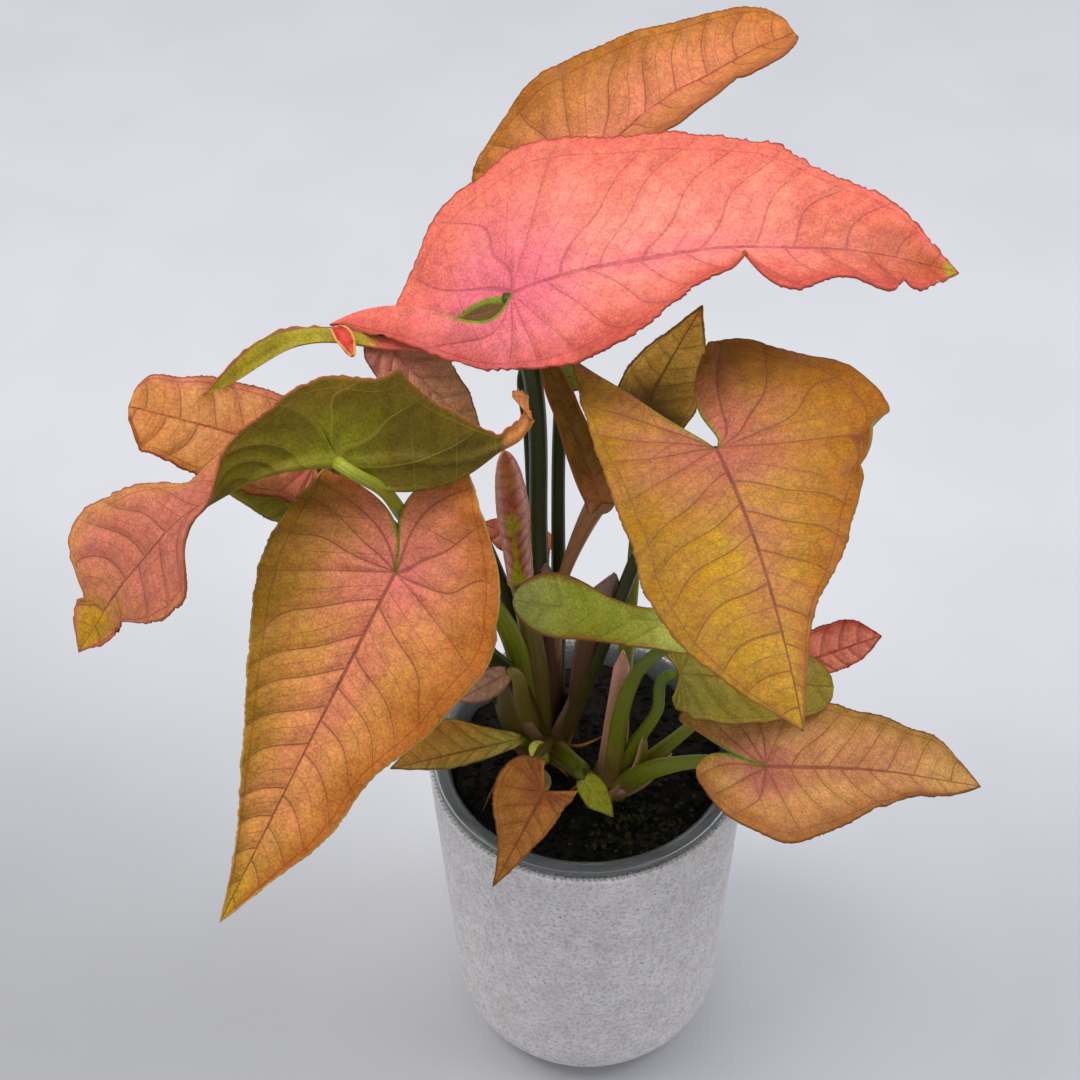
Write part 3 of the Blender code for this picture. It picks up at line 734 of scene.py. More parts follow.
# Along a leaf, s goes from -1 at a lobe's end through 0 at the joint to 1 at the tip, and below -1
# on a lobe's tail. Across it, u goes from 0 at the midrib to 1 at the margin.
def vein_field(s, out, arc, span, side, lobe_length, gap, phase):
    """How many side veins lie between each point and the joint, and the share of a quarter turn
    by which it lies behind the joint, where the veins spread like a fan."""
    ahead = np.clip(s * 6, 0, 1)
    lead = VEIN_LEAD * span * out**1.6 * ahead
    sway = 0.12 * np.sin(arc / 4.7 + phase[0]) + 0.05 * np.sin(arc / 2.3 + phase[1])
    sway = sway + 0.1 * np.sin(out * span / 2.6 + phase[2] + arc / 9)
    count = (arc - lead) / gap + (sway + 0.18 * (1 + side)) * ahead
    fan = np.arctan2(np.clip(-s, 0, 1) * lobe_length, out * span + 0.01) / (pi / 2)
    fan = fan + 0.03 * np.sin(out * span / 2.2 + phase[1]) * np.clip(-s * 4, 0, 1)
    return count, fan


def half_blade(blade, side, rows, lobe_rows, columns, rolls, ragged, gap, draw):
    """One half of a leaf: a plain grid whose rows follow the side veins, laid on the leaf's surface."""
    back_rows = lobe_rows + (TAIL_ROWS if blade.tail and side < 0 else 0)
    total = rows + back_rows
    half, row, column = plain_grid("half", total, columns)
    step = (np.arange(total + 1) - back_rows).astype(float)
    u = (np.arange(columns + 1) / columns) ** 1.2
    grid = np.empty((total + 1, columns + 1, 3))
    tail = step < -lobe_rows
    lobe = (step < 0) & ~tail
    front = step >= 0
    grid[front] = blade.ahead((step[front] / rows)[:, None], u[None, :], side)
    grid[lobe] = blade.behind((-step[lobe] / lobe_rows)[:, None], u[None, :], side)
    if tail.any():
        share = (-step[tail] - lobe_rows) / TAIL_ROWS
        grid[tail] = blade.strip(share[:, None] + 0 * u, 0 * share[:, None] + u, side)
    s = np.where(front, step / rows, step / lobe_rows)
    for roll_side, middle, spread, reach, degrees in rolls:
        if roll_side == side:
            grid = roll_margin(grid, u, bump_at(s, middle, spread), reach, -degrees * side)
    spans = np.linalg.norm(np.diff(grid, axis=1), axis=-1).sum(axis=1)
    grid = tooth_margin(grid, spans, ragged, draw)
    lobe_length = np.linalg.norm(blade.lobe_end(side) - blade.joint)
    arc = np.where(front, s * blade.length, s * lobe_length)
    reach = np.linalg.norm(grid - blade.joint, axis=-1)
    phase = draw.uniform(0, 6, 3)
    count, fan = vein_field(s[row], u[column], arc[row], spans[row], side, lobe_length, gap, phase)
    lay(half, grid[row, column], blade=(s[row], u[column] * side, spans[row]),
        measure=(reach[row, column], count, fan))
    if side > 0:
        half.data.flip_normals()
    return half


def read_vectors(data, name):
    values = np.empty(len(data) * 3)
    data.foreach_get(name, values)
    return values.reshape(-1, 3)


def add_relief(leaf, puff, crumple, draw):
    """Sinks the midrib, lifts the blade between its veins, and weighs how thick it is at its ribs."""
    mesh = leaf.data
    points = read_vectors(mesh.vertices, "co")
    normals = np.array([v.vector for v in mesh.vertex_normals])
    s, u, span = read_vectors(mesh.attributes["blade"].data, "vector").T
    _, count, fan = read_vectors(mesh.attributes["measure"].data, "vector").T
    out = abs(u)
    field = np.where(s >= 0, count, fan * FAN_VEINS)
    away = np.where(s > -1.01, 1 - abs(field % 1 - 0.5) * 2, 0.5)
    inside = np.clip(out * 4, 0, 1) * np.clip((1 - out) * 5, 0, 1)
    ahead = np.clip(20 * s + 1, 0, 1)
    rib = bump_at(out * span, 0, RIB_WIDTH) * ahead * (1 - RIB_TAPER * np.clip(s, 0, 1))
    lobe_rib = LOBE_RIB_OUT * (1 - (1 - np.clip(-s, 0, 1)) ** 3)
    rib = np.maximum(rib, bump_at((out - lobe_rib) * span, 0, LOBE_RIB_WIDTH) * (1 - ahead) * 0.5)
    waves = 0
    for size in CRUMPLE_SIZES:
        wave = points / MM @ draw.normal(size=3) * 2 * pi / size / 1.7 + draw.uniform(0, 2 * pi)
        waves = waves + np.sin(wave) * size / CRUMPLE_SIZES[0]
    small = np.clip(span / 8, 0, 1)
    height = puff * (away**0.7 - 0.6) * inside * small + crumple * waves * small - 0.3 * rib
    points = points + normals * ((height + BLADE / 2) * MM)[:, None]
    mesh.vertices.foreach_set("co", points.ravel())
    mesh.update()
    thick = BLADE / RIB_DEPTH + (1 - BLADE / RIB_DEPTH) * np.clip(rib, 0, 1) * np.clip(span / 3, 0, 1)
    group = leaf.vertex_groups.new(name="thick")
    for i, weight in enumerate(thick):
        group.add([i], float(weight), "REPLACE")


def leaf_surface():
    """Node group for a leaf's colour and relief, from its place along and across the blade."""
    tree = bpy.data.node_groups.new("leaf_surface", "ShaderNodeTree")
    sockets = [(name, "INPUT", "Color") for name in LEAF_COLOURS]
    sockets += [(name, "INPUT", "Float") for name in LEAF_NUMBERS]
    sockets += [("colour", "OUTPUT", "Color")]
    sockets += [(name, "OUTPUT", "Float") for name in ("roughness", "height")]
    for name, way, kind in sockets:
        tree.interface.new_socket(name, in_out=way, socket_type="NodeSocket" + kind)
    wire = Wiring(tree)
    given = {socket.name: Value(wire, socket) for socket in tree.nodes.new("NodeGroupInput").outputs}
    where = wire.object_place()
    s, u, span = wire.attribute("blade")
    reach, count, fan = wire.attribute("measure")
    wide_noise = wire.noise(where, 9, 3, 0.6) - 0.5
    fine_noise = wire.noise(where, 0.45, 2, 0.65)
    out = abs(u)
    out_mm = out * span
    ahead = wire.step(s, -0.004, 0.004)
    lobed = 1.0 - ahead

    half_rib = wire.step(s, 0.0, 1.0, 0.5, 0.15)
    rib = wire.step(out_mm, half_rib, half_rib * 0.4) * ahead
    width = wire.step(out, 0.0, 0.85, 0.28, 0.15)
    fading = wire.step(out, 1.0, 0.75, 0.2, 0.85)
    side_mm = wire.from_whole(count) * VEIN_GAP
    side_vein = wire.step(side_mm, width, width * 0.2) * fading * ahead
    weak_mm = wire.from_whole(count + 0.5) * VEIN_GAP
    weak_vein = wire.step(weak_mm, 0.18, 0.04) * wire.step(out, 0.9, 0.5, 0.0, 0.5)
    fan_mm = wire.from_whole(fan * FAN_VEINS) * reach * (pi / 2 / FAN_VEINS)
    fan_vein = wire.step(fan_mm, width, width * 0.2) * fading * lobed
    edge_vein = wire.step(abs(out - EDGE_VEIN_OUT) * span, 0.22, 0.06, 0.0, 0.6)
    valley = wire.highest(wire.step(side_mm, VEIN_VALLEY, 0.0), wire.step(fan_mm, VEIN_VALLEY, 0.0) * lobed)
    lines = wire.highest(rib, side_vein, weak_vein, fan_vein, edge_vein)
    height = lines * 0.5 + valley - fine_noise * 0.5
    drift = wire.noise(where, 2.5, 1, output="Color")
    drifted = wire.node("ShaderNodeVectorMath", {0: drift, 1: (MM,) * 3, 2: where}, operation="MULTIPLY_ADD")
    for size, width, share in VEIN_NETS:
        cells = wire.cells(drifted, size, "DISTANCE_TO_EDGE")
        lines = wire.highest(lines, wire.step(cells, width, width / 6, 0.0, share) * given["net"])
        valley = wire.highest(valley, wire.step(cells, 0.3, 0.0, 0.0, share))

    colour = wire.mix(wire.step(wide_noise, -0.08, 0.14) * given["patches"], given["body"], given["patch"])
    colour = wire.mix(wire.step(wide_noise * 0.5 + s, -0.15, -0.85), colour, given["lobe"])
    colour = wire.mix(wire.step(wide_noise * 0.4 + s, given["tip_from"], 1.0), colour, given["tip"])
    edge = wire.mix(wire.step(u, -0.01, 0.01), given["left_edge"], given["right_edge"])
    colour = wire.mix(wire.step(wide_noise * 0.5 + out, given["edge_from"], 1.0), colour, edge)
    halo = wire.step(wide_noise * 14.0 + reach, given["halo"], 2.0)
    band = wire.step(wide_noise * 12.0 + out_mm, given["band"], 0.5) * ahead * wire.step(s, 1.0, 0.2)
    colour = wire.mix(wire.highest(halo, band * given["centre"]), colour, given["joint"])
    spots = wire.step(wide_noise * 0.3 + wire.cells(where, 5), 0.11, 0.06) * given["spots"]
    colour = wire.mix(spots, colour, given["spot"])
    notch = wire.step(out_mm, given["notch_mm"], 0.3) * wire.step(reach, 17, 8) * lobed
    colour = wire.mix(notch, colour, given["notch"])
    colour = wire.mix(wire.step(s, -1.0, -1.06), colour, given["spot"])
    # Painted shade on the big leaf's left lobe beside its joint: a dark olive patch in a green ring,
    # standing for the shaded underside that shows through the hollow.
    pocket_out = out_mm / POCKET_OUT
    pocket_along = (reach - POCKET_PLACE) / POCKET_REACH
    pocket = pocket_along * pocket_along + pocket_out * pocket_out
    lower = wire.math("LESS_THAN", u, 0.0) * wire.step(fan, 0.25, 0.4) * lobed * given["pocketed"]
    colour = wire.mix(wire.step(pocket, 1.45, 1.25) * lower, colour, given["notch"])
    colour = wire.mix(wire.step(pocket, 1.1, 0.85) * lower, colour, given["pocket"])
    colour = wire.mix(wire.step(s, 0.955, 0.975) * given["pocketed"], colour, given["spot"])

    mottling = wire.step(wire.noise(where, 3, 3, 0.6), 0.3, 0.7, 0.9, 1.1)
    shade = wire.step(fine_noise, 0.3, 0.7, 0.78, 1.2) * mottling
    # Painted shade: the valleys between the veins darken the colour, on top of the speckle and mottling that
    # vary its tone.
    keys = {"Color": colour, "Value": shade * (valley * -0.14 + 1.05),
            "Hue": wire.step(wire.noise(where, 1.6, 2, 0.7), 0.3, 0.7, 0.494, 0.506)}
    colour = wire.node("ShaderNodeHueSaturation", keys)
    colour = wire.mix(lines * given["veins"], colour, given["vein"])
    colour = wire.mix(wire.step((1.0 - out) * span, 0.5, 0.2, 0.0, 0.8), colour, given["rim"])
    results = tree.nodes.new("NodeGroupOutput").inputs
    wire.feed(results["colour"], colour)
    wire.feed(results["roughness"], wire.step(fine_noise, 0.25, 0.75, 0.42, 0.58))
    wire.feed(results["height"], height)
    return tree


LEAF_SURFACE = leaf_surface()


def leaf_material(name, sunk, given):
    """A leaf's finish. Colours left out are the body's, and a lobe's tail takes the spots' colour."""
    material, wire = new_material(name)
    group = wire.tree.nodes.new("ShaderNodeGroup")
    group.node_tree = LEAF_SURFACE
    for key in LEAF_COLOURS:
        wire.feed(group.inputs[key], given.get(key, given["body"]))
    for key, usual in LEAF_NUMBERS.items():
        wire.feed(group.inputs[key], given.get(key, usual))
    colour, roughness, height = [Value(wire, socket) for socket in group.outputs]
    wire.dress(colour, roughness, 0.22, height, 0.65, 0.3, sunk)
    return material


def grow(name, slot, node, upper, under, seed, gap=7.0, detail=1.0, rolls=(), puff=0.5, crumple=0.4,
         ragged=0.1, **sizes):
    """A leaf blade: two halves welded along the midrib, then its relief, thickness and finishes."""
    draw = np.random.default_rng(seed)
    blade = Blade(**sizes)
    lobe_length = np.linalg.norm(blade.lobe_end(-1) - blade.joint)
    rows = int(detail * (20 + ROWS_PER_MM * blade.length))
    lobe_rows = int(detail * (10 + LOBE_ROWS_PER_MM * lobe_length))
    columns = int(detail * (8 + COLUMNS_PER_MM * max(*sizes["left"], *sizes["right"])))
    leaf = join(*[half_blade(blade, side, rows, lobe_rows, columns, rolls, ragged, gap, draw)
                  for side in (-1, 1)])
    leaf.name = name
    weld(0.02, outward=False)
    seats[name] = blade.seat()
    add_relief(leaf, puff, crumple, draw)
    leaf.data.materials.append(leaf_material(name + "_face", True, upper))
    leaf.data.materials.append(leaf_material(name + "_underside", False, under))
    apply_modifier(leaf, "SOLIDIFY", thickness=RIB_DEPTH * MM, offset=-1, vertex_group="thick",
                   material_offset=1, use_even_offset=False)
    bpy.ops.object.shade_smooth()
    settle(leaf, slot=slot, nodes=[node] if node else [])


# Big pink leaf
# The largest leaf, salmon pink with a lilac midrib that darkens towards an olive tip. Its right
# edge is deeply nicked, and its left lobe runs out into a narrow green tail. A curled red scrap
# of it hangs there. Beside its joint, the left lobe carries a dark olive patch of painted shade in a green
# ring.
grow("big_pink_blade", "leaf_pink", "leaf_big_pink",
     dict(body="f68e7a", patch="ec7a6e", lobe="e86e5c", tip="b45622", left_edge="e46e58",
          right_edge="c85442", joint="e26a78", notch="768406", vein="923448", rim="9c4232", spot="a4961a",
          pocket="5c4c02", tip_from=0.45, edge_from=0.15, halo=24, centre=0.5, notch_mm=0.9, veins=0.5,
          net=0.35, pocketed=1.0),
     dict(body="aab054", patch="c49660", joint="96aa46", vein="cec478", rim="be7850", veins=0.5),
     seed=3, gap=8.5, ragged=0.32, joint=(-14, 0, 220), tip=(66, -4, 225), face=(0, -0.1, 1), bow=(0, 0, 8),
     left=(27.5, 27.5, 24.5, 23, 17, 11), right=(20, 18.5, 18.5, 11, 16, 10, 11),
     fold=((20,), (-12, -10, 0, 10, 12, 12, 8, 0)), wave=(0.7, 4, 0.0),
     nicks=((1, 0.52, 0.8, 0.045), (1, 0.87, 0.45, 0.025)),
     lobes=((26, 0, -1.5, 0, 14, 1), (36, -5, 3.5, 0, 7, 14)),
     notch=(((4, -6, -4), (14, -7, -4)), ((6, 16, -0.5), (15, -10, 4))),
     tail=((-46.5, 1, 210.5), (-54, 3, 208.5), (-60, 0, 208), (-65, -6, 208), (-69.5, -14, 209)),
     tail_widths=(2.6, 3, 3.6, 5, 4, 0))
grow("curled_scrap", "leaf_pink", None,
     dict(body="ce4a3c", patch="c43832", tip="d6a03c", vein="a03c32", rim="dcaa50", left_edge="dcaa46",
          edge_from=0.3, veins=0.0),
     dict(body="d0a050", patch="c4643c", rim="c85032", veins=0.0),
     seed=24, gap=4, detail=1.5, crumple=0.5, joint=(-46.5, 1.5, 211.5), tip=(-43, -4.5, 209.5),
     face=(0.5, -0.7, 0.5), left=(1.4, 2.4, 2.6, 1.8), right=(1.4, 2.2, 2.4, 1.6), curl=(90, 70))


# Top leaf
# A copper leaf that stands highest and leans back to the right, with a pinker band along its
# midrib and dark side veins. Its near half is bent up.
grow("top_blade", "leaf_copper", "leaf_top_back",
     dict(body="ce8042", patch="de845c", lobe="be742e", tip="c47632", left_edge="b26c18",
          right_edge="ac5e2e", joint="e28064", vein="7c3632", rim="8c4e1a", edge_from=0.4, halo=12,
          centre=0.6, band=10),
     dict(body="807830", patch="96763c", vein="b0965a"),
     seed=4, gap=7.5, ragged=0.14, joint=(-1, 42, 217), tip=(41, 49, 243), face=(0, -0.3, 1),
     bow=(0, -1, 4), left=(21, 20.5, 16.5, 13, 10), right=(20, 22, 19, 16.5, 13), fold=((10,), (38,)),
     blunt=0.22, lobes=((24, 11, 0, 0, 6, 0), (12, 10, 0, 0, 5, 0)), wave=(0.8, 3, 0.2),
     nicks=((1, 0.7, 0.3, 0.05),))


# Twisted leaf
# An older leaf that has turned over on itself: its olive underside shows near the joint, then
# its pink face. Its long lobe ends in a dry copper curl.
grow("twisted_blade", "leaf_olive", "leaf_twisted_left",
     dict(body="c47058", patch="b66248", lobe="b05e30", tip="ba880a", left_edge="c4704c",
          right_edge="c48048", joint="be6048", vein="7c3632", rim="9c5432", spot="be743c", tip_from=0.72),
     dict(body="746202", patch="503c00", lobe="5c4a02", tip="967832", left_edge="705806",
          right_edge="965432", joint="787408", notch="8c8c28", vein="968828", rim="964828", spot="be743c",
          veins=0.5, net=0.3, halo=12),
     seed=5, gap=6.5, ragged=0.3, crumple=0.9, joint=(-45, -30, 207), tip=(-95, -40, 170),
     face=(0, 0.95, -0.3), bow=(0, 1, 11), left=(21, 12, 9.5, 8, 12.5, 9), right=(6, 8, 15, 8.5, 14.5, 19),
     twist=(0, -10, -65, -115, -135, -140), fold=((0,), (80, 40, 0, 0)),
     lobes=((29.5, 1, 4, 0, 6, 10), (3, 3, 0, 0, 1, 0)), wave=(0.9, 4, 0.4),
     notch=(((4, -8, 1), (20, -10.5, 3)), None),
     nicks=((-1, 0.86, 0.5, 0.04), (1, 0.9, 0.6, 0.05), (-1, -0.5, -0.28, 0.07)),
     tail=((-12.5, -20.5, 205), (-11, -18, 207.5), (-12.5, -16.5, 209), (-14, -16, 209.5)),
     tail_widths=(3, 4, 4, 3, 1))


# Leaves behind the left petioles
# Three leaves half hidden by the twisted one: a gold leaf with a blunt, curled end, a pale
# green one below it and a tan one that hangs under the big leaf.
grow("gold_left_blade", "leaf_gold", "leaf_copper_left",
     dict(body="ce8c48", patch="c87846", tip="c47c36", left_edge="b06822", right_edge="c87454",
          joint="ba6046", vein="82402c", rim="8c421a"),
     dict(body="aa823c", patch="966e32", vein="c4a05a"),
     seed=6, crumple=0.6, ragged=0.16, rolls=((-1, 1.0, 0.08, 0.5, 110),), joint=(-51, -14, 192),
     tip=(-84, -12, 205), bow=(0, 0, 1), left=(8, 9.5, 9.5, 9, 8), right=(10, 10, 10, 9.5, 8),
     wave=(0.7, 3, 0.1), blunt=0.15)
grow("pale_left_blade", "leaf_green", "leaf_pale_left",
     dict(body="aaa432", patch="9c9628", joint="beb454", vein="beba5a", rim="968c28"),
     dict(body="b4be68", vein="c8ce82"),
     seed=7, gap=4, joint=(-48.4, -18, 183), tip=(-70.4, -20, 194), left=(5, 5, 4, 2), right=(6, 6, 4, 2),
     wave=(0.3, 3, 0.5))
grow("tan_left_blade", "leaf_tan", "leaf_behind_left",
     dict(body="c48e64", patch="c88468", tip="a07c3e", joint="d2826e", vein="8c5a3c", rim="8c5428",
          veins=0.3, net=0.15),
     dict(body="966e38", vein="b48c50"),
     seed=8, gap=5, joint=(-38, 2, 208), tip=(-20, -6, 190), face=(0, -0.6, 0.8), left=(6.5, 7, 6, 4),
     right=(5, 6, 6, 4), wave=(0.4, 3, 0.3))


# Front left leaf
# The long leaf that hangs to the front. It is pink along its purple midrib, tan between the
# veins, and olive along its outer margin and at its tip.
grow("front_left_blade", "leaf_copper", "leaf_front_left",
     dict(body="d08a42", patch="d4923e", lobe="a05e20", tip="b48a14", left_edge="b2641a",
          right_edge="946806", joint="d67462", notch="787c14", vein="702e28", rim="b08c46", spot="6e461e",
          edge_from=0.25, halo=20, centre=0.6, band=9, spots=0.35),
     dict(body="807c32", patch="92743c", vein="aca05a"),
     seed=9, gap=7.5, ragged=0.12, joint=(-36, -34, 183), tip=(-70, -76, 135), face=(0.1, -0.6, 0.75),
     bow=(0, -1, 1), left=(26.5, 22, 18.5, 13, 11, 5.5), right=(24, 22, 17.5, 12.5, 7.5, 3),
     fold=((6,), (6,)), lobes=((22.5, 3.5, 2, 0, 4, 5), (11, 20, 3, 0, 1, 6)), wave=(0.7, 4, 0.6),
     notch=(((5, -2, 0), (14, -10, 1)), ((6, 1.5, 0), (13, 4, 2))), nicks=((-1, -0.25, 0.1, 0.12),))


# Right leaf
# A broad gold leaf that leans out to the front right, yellower in the middle, with a purple
# midrib. Part of its margin has curled over.
grow("right_blade", "leaf_gold", "leaf_right",
     dict(body="b27e20", patch="c49814", lobe="9e6232", tip="ac820c", left_edge="a06012",
          right_edge="a0700e", joint="b6684e", notch="968228", vein="703032", rim="8c5a1e", spot="3c3c14",
          tip_from=0.6, edge_from=0.15, halo=24, centre=0.6, band=8, spots=0.2),
     dict(body="888232", patch="9c7e3c", vein="b4a860"),
     seed=10, gap=8, ragged=0.14, rolls=((-1, 0.05, 0.12, 0.85, 120),), joint=(22, -26, 204),
     tip=(33, -78, 188), face=(0, -0.3, 1), bow=(1, 0, 3), left=(28, 28.5, 20, 13.5, 6, 2.5),
     right=(21, 21, 21, 21, 18, 11), fold=((4,), (4,)), lobes=((26, 8, 0, 0, 6, 1), (28, 17.5, 3, 0, 2, 6)),
     wave=(0.8, 4, 0.8), notch=(((4, 4, 0), (9, -6, 0)), None),
     nicks=((-1, 0.05, 0.07, 0.03), (-1, 0.24, 0.1, 0.03)))


# Low right leaf
# A tan leaf of the right shoot, which lies out over the pot's right side. It has a dark margin
# and an open notch between its lobes.
grow("low_right_blade", "leaf_tan", "leaf_low_right",
     dict(body="d69254", patch="e2a660", lobe="ac7a32", tip="d6a054", left_edge="ac7c28",
          right_edge="a06228", joint="be7054", notch="788228", vein="823e2c", rim="744614", edge_from=0.4,
          halo=12, centre=0.5, spots=0.15),
     dict(body="8c8842", patch="967842", vein="b8ac68"),
     seed=11, gap=6.5, ragged=0.12, joint=(36, -28, 118), tip=(82, -27, 108), face=(0, -0.3, 1),
     bow=(0, 0, 2), left=(15.5, 14.5, 13.5, 12, 10.5, 8), right=(18.5, 17, 15, 12.5, 10, 6, 4.5, 3),
     fold=((6,), (4,)), lobes=((17.5, 10.5, 0, 0, 3.5, -0.5), (14.5, 0.5, 0, 0, 5, -1.5)),
     wave=(0.6, 4, 0.3), notch=(((6, 0.5, 0), (14, 8, 0)), ((5, -1, 0), (11, -6, 0))),
     nicks=((1, 0.5, 0.16, 0.08),))


# Leaves between the petioles
# Young and half hidden leaves: an olive one behind the right leaf, a rolled one that has not
# opened, a pink new one, two scraps between the petioles, and three at the right, which are
# green, olive and pink.
# Painted shade: the olive leaf's dark brown joint colour, spread 18 mm out from its joint, darkens the part
# that lies in shadow behind the right leaf.
grow("olive_behind_blade", "leaf_olive", "leaf_olive_behind",
     dict(body="f6b84c", patch="d2922c", tip="e25a32", joint="60420c", vein="784214", rim="825014", halo=18,
          tip_from=0.8),
     dict(body="786824", vein="96823c"),
     seed=12, gap=5, joint=(10, 0, 189), tip=(21, 0, 216), face=(0, -0.6, 0.8), bow=(0, 0, 1),
     left=(6, 7, 6, 3), right=(8, 9, 8, 4), fold=((30,), (-10,)), wave=(0.5, 3, 0.2))
grow("rolled_blade", "leaf_olive", "leaf_rolled",
     dict(body="8c6418", patch="74500e", joint="be743c", vein="643c14", rim="96461e", veins=0.12),
     dict(body="8e6818", patch="70540a", vein="6e5a14", rim="96461e", veins=0.12),
     seed=13, gap=9, ragged=0.03, puff=0.1, joint=(3, 0, 167), tip=(-9, 2, 207), face=(0, -0.7, 0.7),
     left=(4.5, 5.5, 5, 4, 3.5), right=(4.5, 5.5, 5, 4, 3.5), curl=(100, 100))
grow("new_blade", "leaf_pink", "leaf_new_centre",
     dict(body="c86e46", patch="aa3232", joint="bab20a", vein="b03c32", rim="d68274", left_edge="f0beac",
          right_edge="f0beac", halo=4, centre=1.0, band=2.0, edge_from=0.15, veins=0.0),
     dict(body="e0a082", patch="ce966e", vein="ce7864", rim="c85046", left_edge="e2826e",
          right_edge="e2826e", edge_from=0.3, veins=0.0),
     seed=14, gap=4, joint=(-14, -4, 149), tip=(-16, -6, 187), face=(0, -0.7, 0.7), ragged=0.03,
     left=(3, 3.6, 4, 4, 3.6), right=(3, 3.6, 3.6, 4, 3.6), curl=(80, 50), blunt=0.25)
grow("small_orange_blade", "leaf_pink", "leaf_small_orange",
     dict(body="e27c60", patch="ce6e5a", vein="b45a46", rim="c86450"),
     dict(body="ce8260", vein="dc966e"),
     seed=15, gap=4, joint=(-8, 16, 138), tip=(-22, 14, 149), face=(0, -0.6, 0.8), left=(4, 4, 4, 3),
     right=(4, 4, 4, 3))
grow("under_pink_blade", "leaf_olive", "leaf_under_pink",
     dict(body="8c963c", patch="967832", vein="6e6e28", rim="785028"),
     dict(body="828c3c", vein="96a050"),
     seed=16, gap=4, joint=(-10, 12, 193), tip=(2, 10, 189), left=(3, 3, 3, 2), right=(3, 3, 3, 2))
grow("green_under_blade", "leaf_green", "leaf_green_under",
     dict(body="929624", patch="82841a", joint="b0b254", vein="a4a63c", left_edge="8c6a1e",
          right_edge="825a18", tip="b0b05a", rim="82501e", edge_from=0.7, veins=0.15, net=0.3),
     dict(body="9ca03c", vein="b4b45a", rim="82501e"),
     seed=17, ragged=0.04, puff=0.15, joint=(20, -28, 160), tip=(-15, -28, 169),
     left=(5.5, 5.5, 5.5, 5.5, 6, 6.5), right=(3.5, 3, 2.5, 3.5, 6, 7), wave=(0.5, 2, 0.1), blunt=0.3)
grow("olive_right_blade", "leaf_olive", "leaf_olive_right",
     dict(body="927c1e", patch="a47432", joint="82781e", vein="644610", rim="784c18", veins=0.4),
     dict(body="8c8c42", vein="a0a05a"),
     seed=18, joint=(18, -21, 139), tip=(51, -14, 126), blunt=0.25, left=(9, 9, 8.5, 7),
     right=(9, 9.5, 9, 7), lobes=((3, 4, 0, 0, 4, 2), (2, 5, 0, 0, 4, 2)), wave=(0.8, 3, 0.7))
grow("pink_right_blade", "leaf_pink", "leaf_pink_right",
     dict(body="e68268", patch="dc7058", left_edge="aa3222", vein="a03c32", rim="963628", edge_from=0.2),
     dict(body="be8260", vein="ce966e"),
     seed=19, gap=4, joint=(45, -8, 127), tip=(61, -8, 135), left=(5, 6, 6, 5), right=(3, 4, 4, 3),
     wave=(0.2, 3, 0.3))


# Small leaves at the soil
# The first short leaves of the left shoot, which are copper, green and tan, and lean out just
# above the pot's rim.
grow("small_front_blade", "leaf_copper", "leaf_small_front",
     dict(body="be782e", patch="c8863c", lobe="aa6028", tip="b06c22", joint="aa5a2c", vein="86461a",
          rim="824c18", halo=6),
     dict(body="967e3c", vein="b49654"),
     seed=20, gap=4.5, joint=(-10, -33, 117), tip=(-21, -44, 100), face=(0.1, -0.6, 0.75),
     left=(5, 5, 3.5, 2), right=(10, 9, 5, 2), lobes=((3.5, 6, 0, 0, 0, 2), (6, 3, 0, 0, 6, 0)),
     wave=(0.3, 3, 0.1))
grow("small_green_blade", "leaf_green", "leaf_small_green",
     dict(body="a09c18", patch="8c8a10", tip="787810", vein="b4b03c", rim="6e6810"),
     dict(body="aab454", vein="bec46e"),
     seed=21, gap=3.5, detail=1.4, joint=(-1, -18, 102), tip=(5, -22, 94), face=(0, -0.6, 0.8),
     left=(2.5, 3, 2.5, 1.5), right=(2.5, 3, 3, 1.5))
grow("low_left_blade", "leaf_copper", "leaf_low_left",
     dict(body="b47c2c", patch="a46c22", joint="aaa446", tip="c4883c", vein="82501e", rim="784c18",
          left_edge="a6a046", halo=14),
     dict(body="a09650", vein="b4aa64"),
     seed=22, gap=5, joint=(-15, -6, 102), tip=(-43, -16, 105), left=(1.5, 2.5, 3, 2),
     right=(1.5, 4.5, 8, 5), wave=(0.3, 3, 0.2))
grow("small_tan_blade", "leaf_tan", "leaf_small_tan",
     dict(body="be8c6e", patch="b0785a", vein="966450", rim="8c5a46"),
     dict(body="aa8c64", vein="bea078"),
     seed=23, gap=3.5, joint=(-17.5, -15, 133.5), tip=(-27.5, -19, 130), left=(2, 3, 3, 2),
     right=(2, 3, 3, 2))


# Shoots
# Each shoot is a short thick stem with its petioles: green stalks that bend out to their leaves,
# rounded below and grooved above. Papery sheaths stand at their feet, and roots lie on the peat.

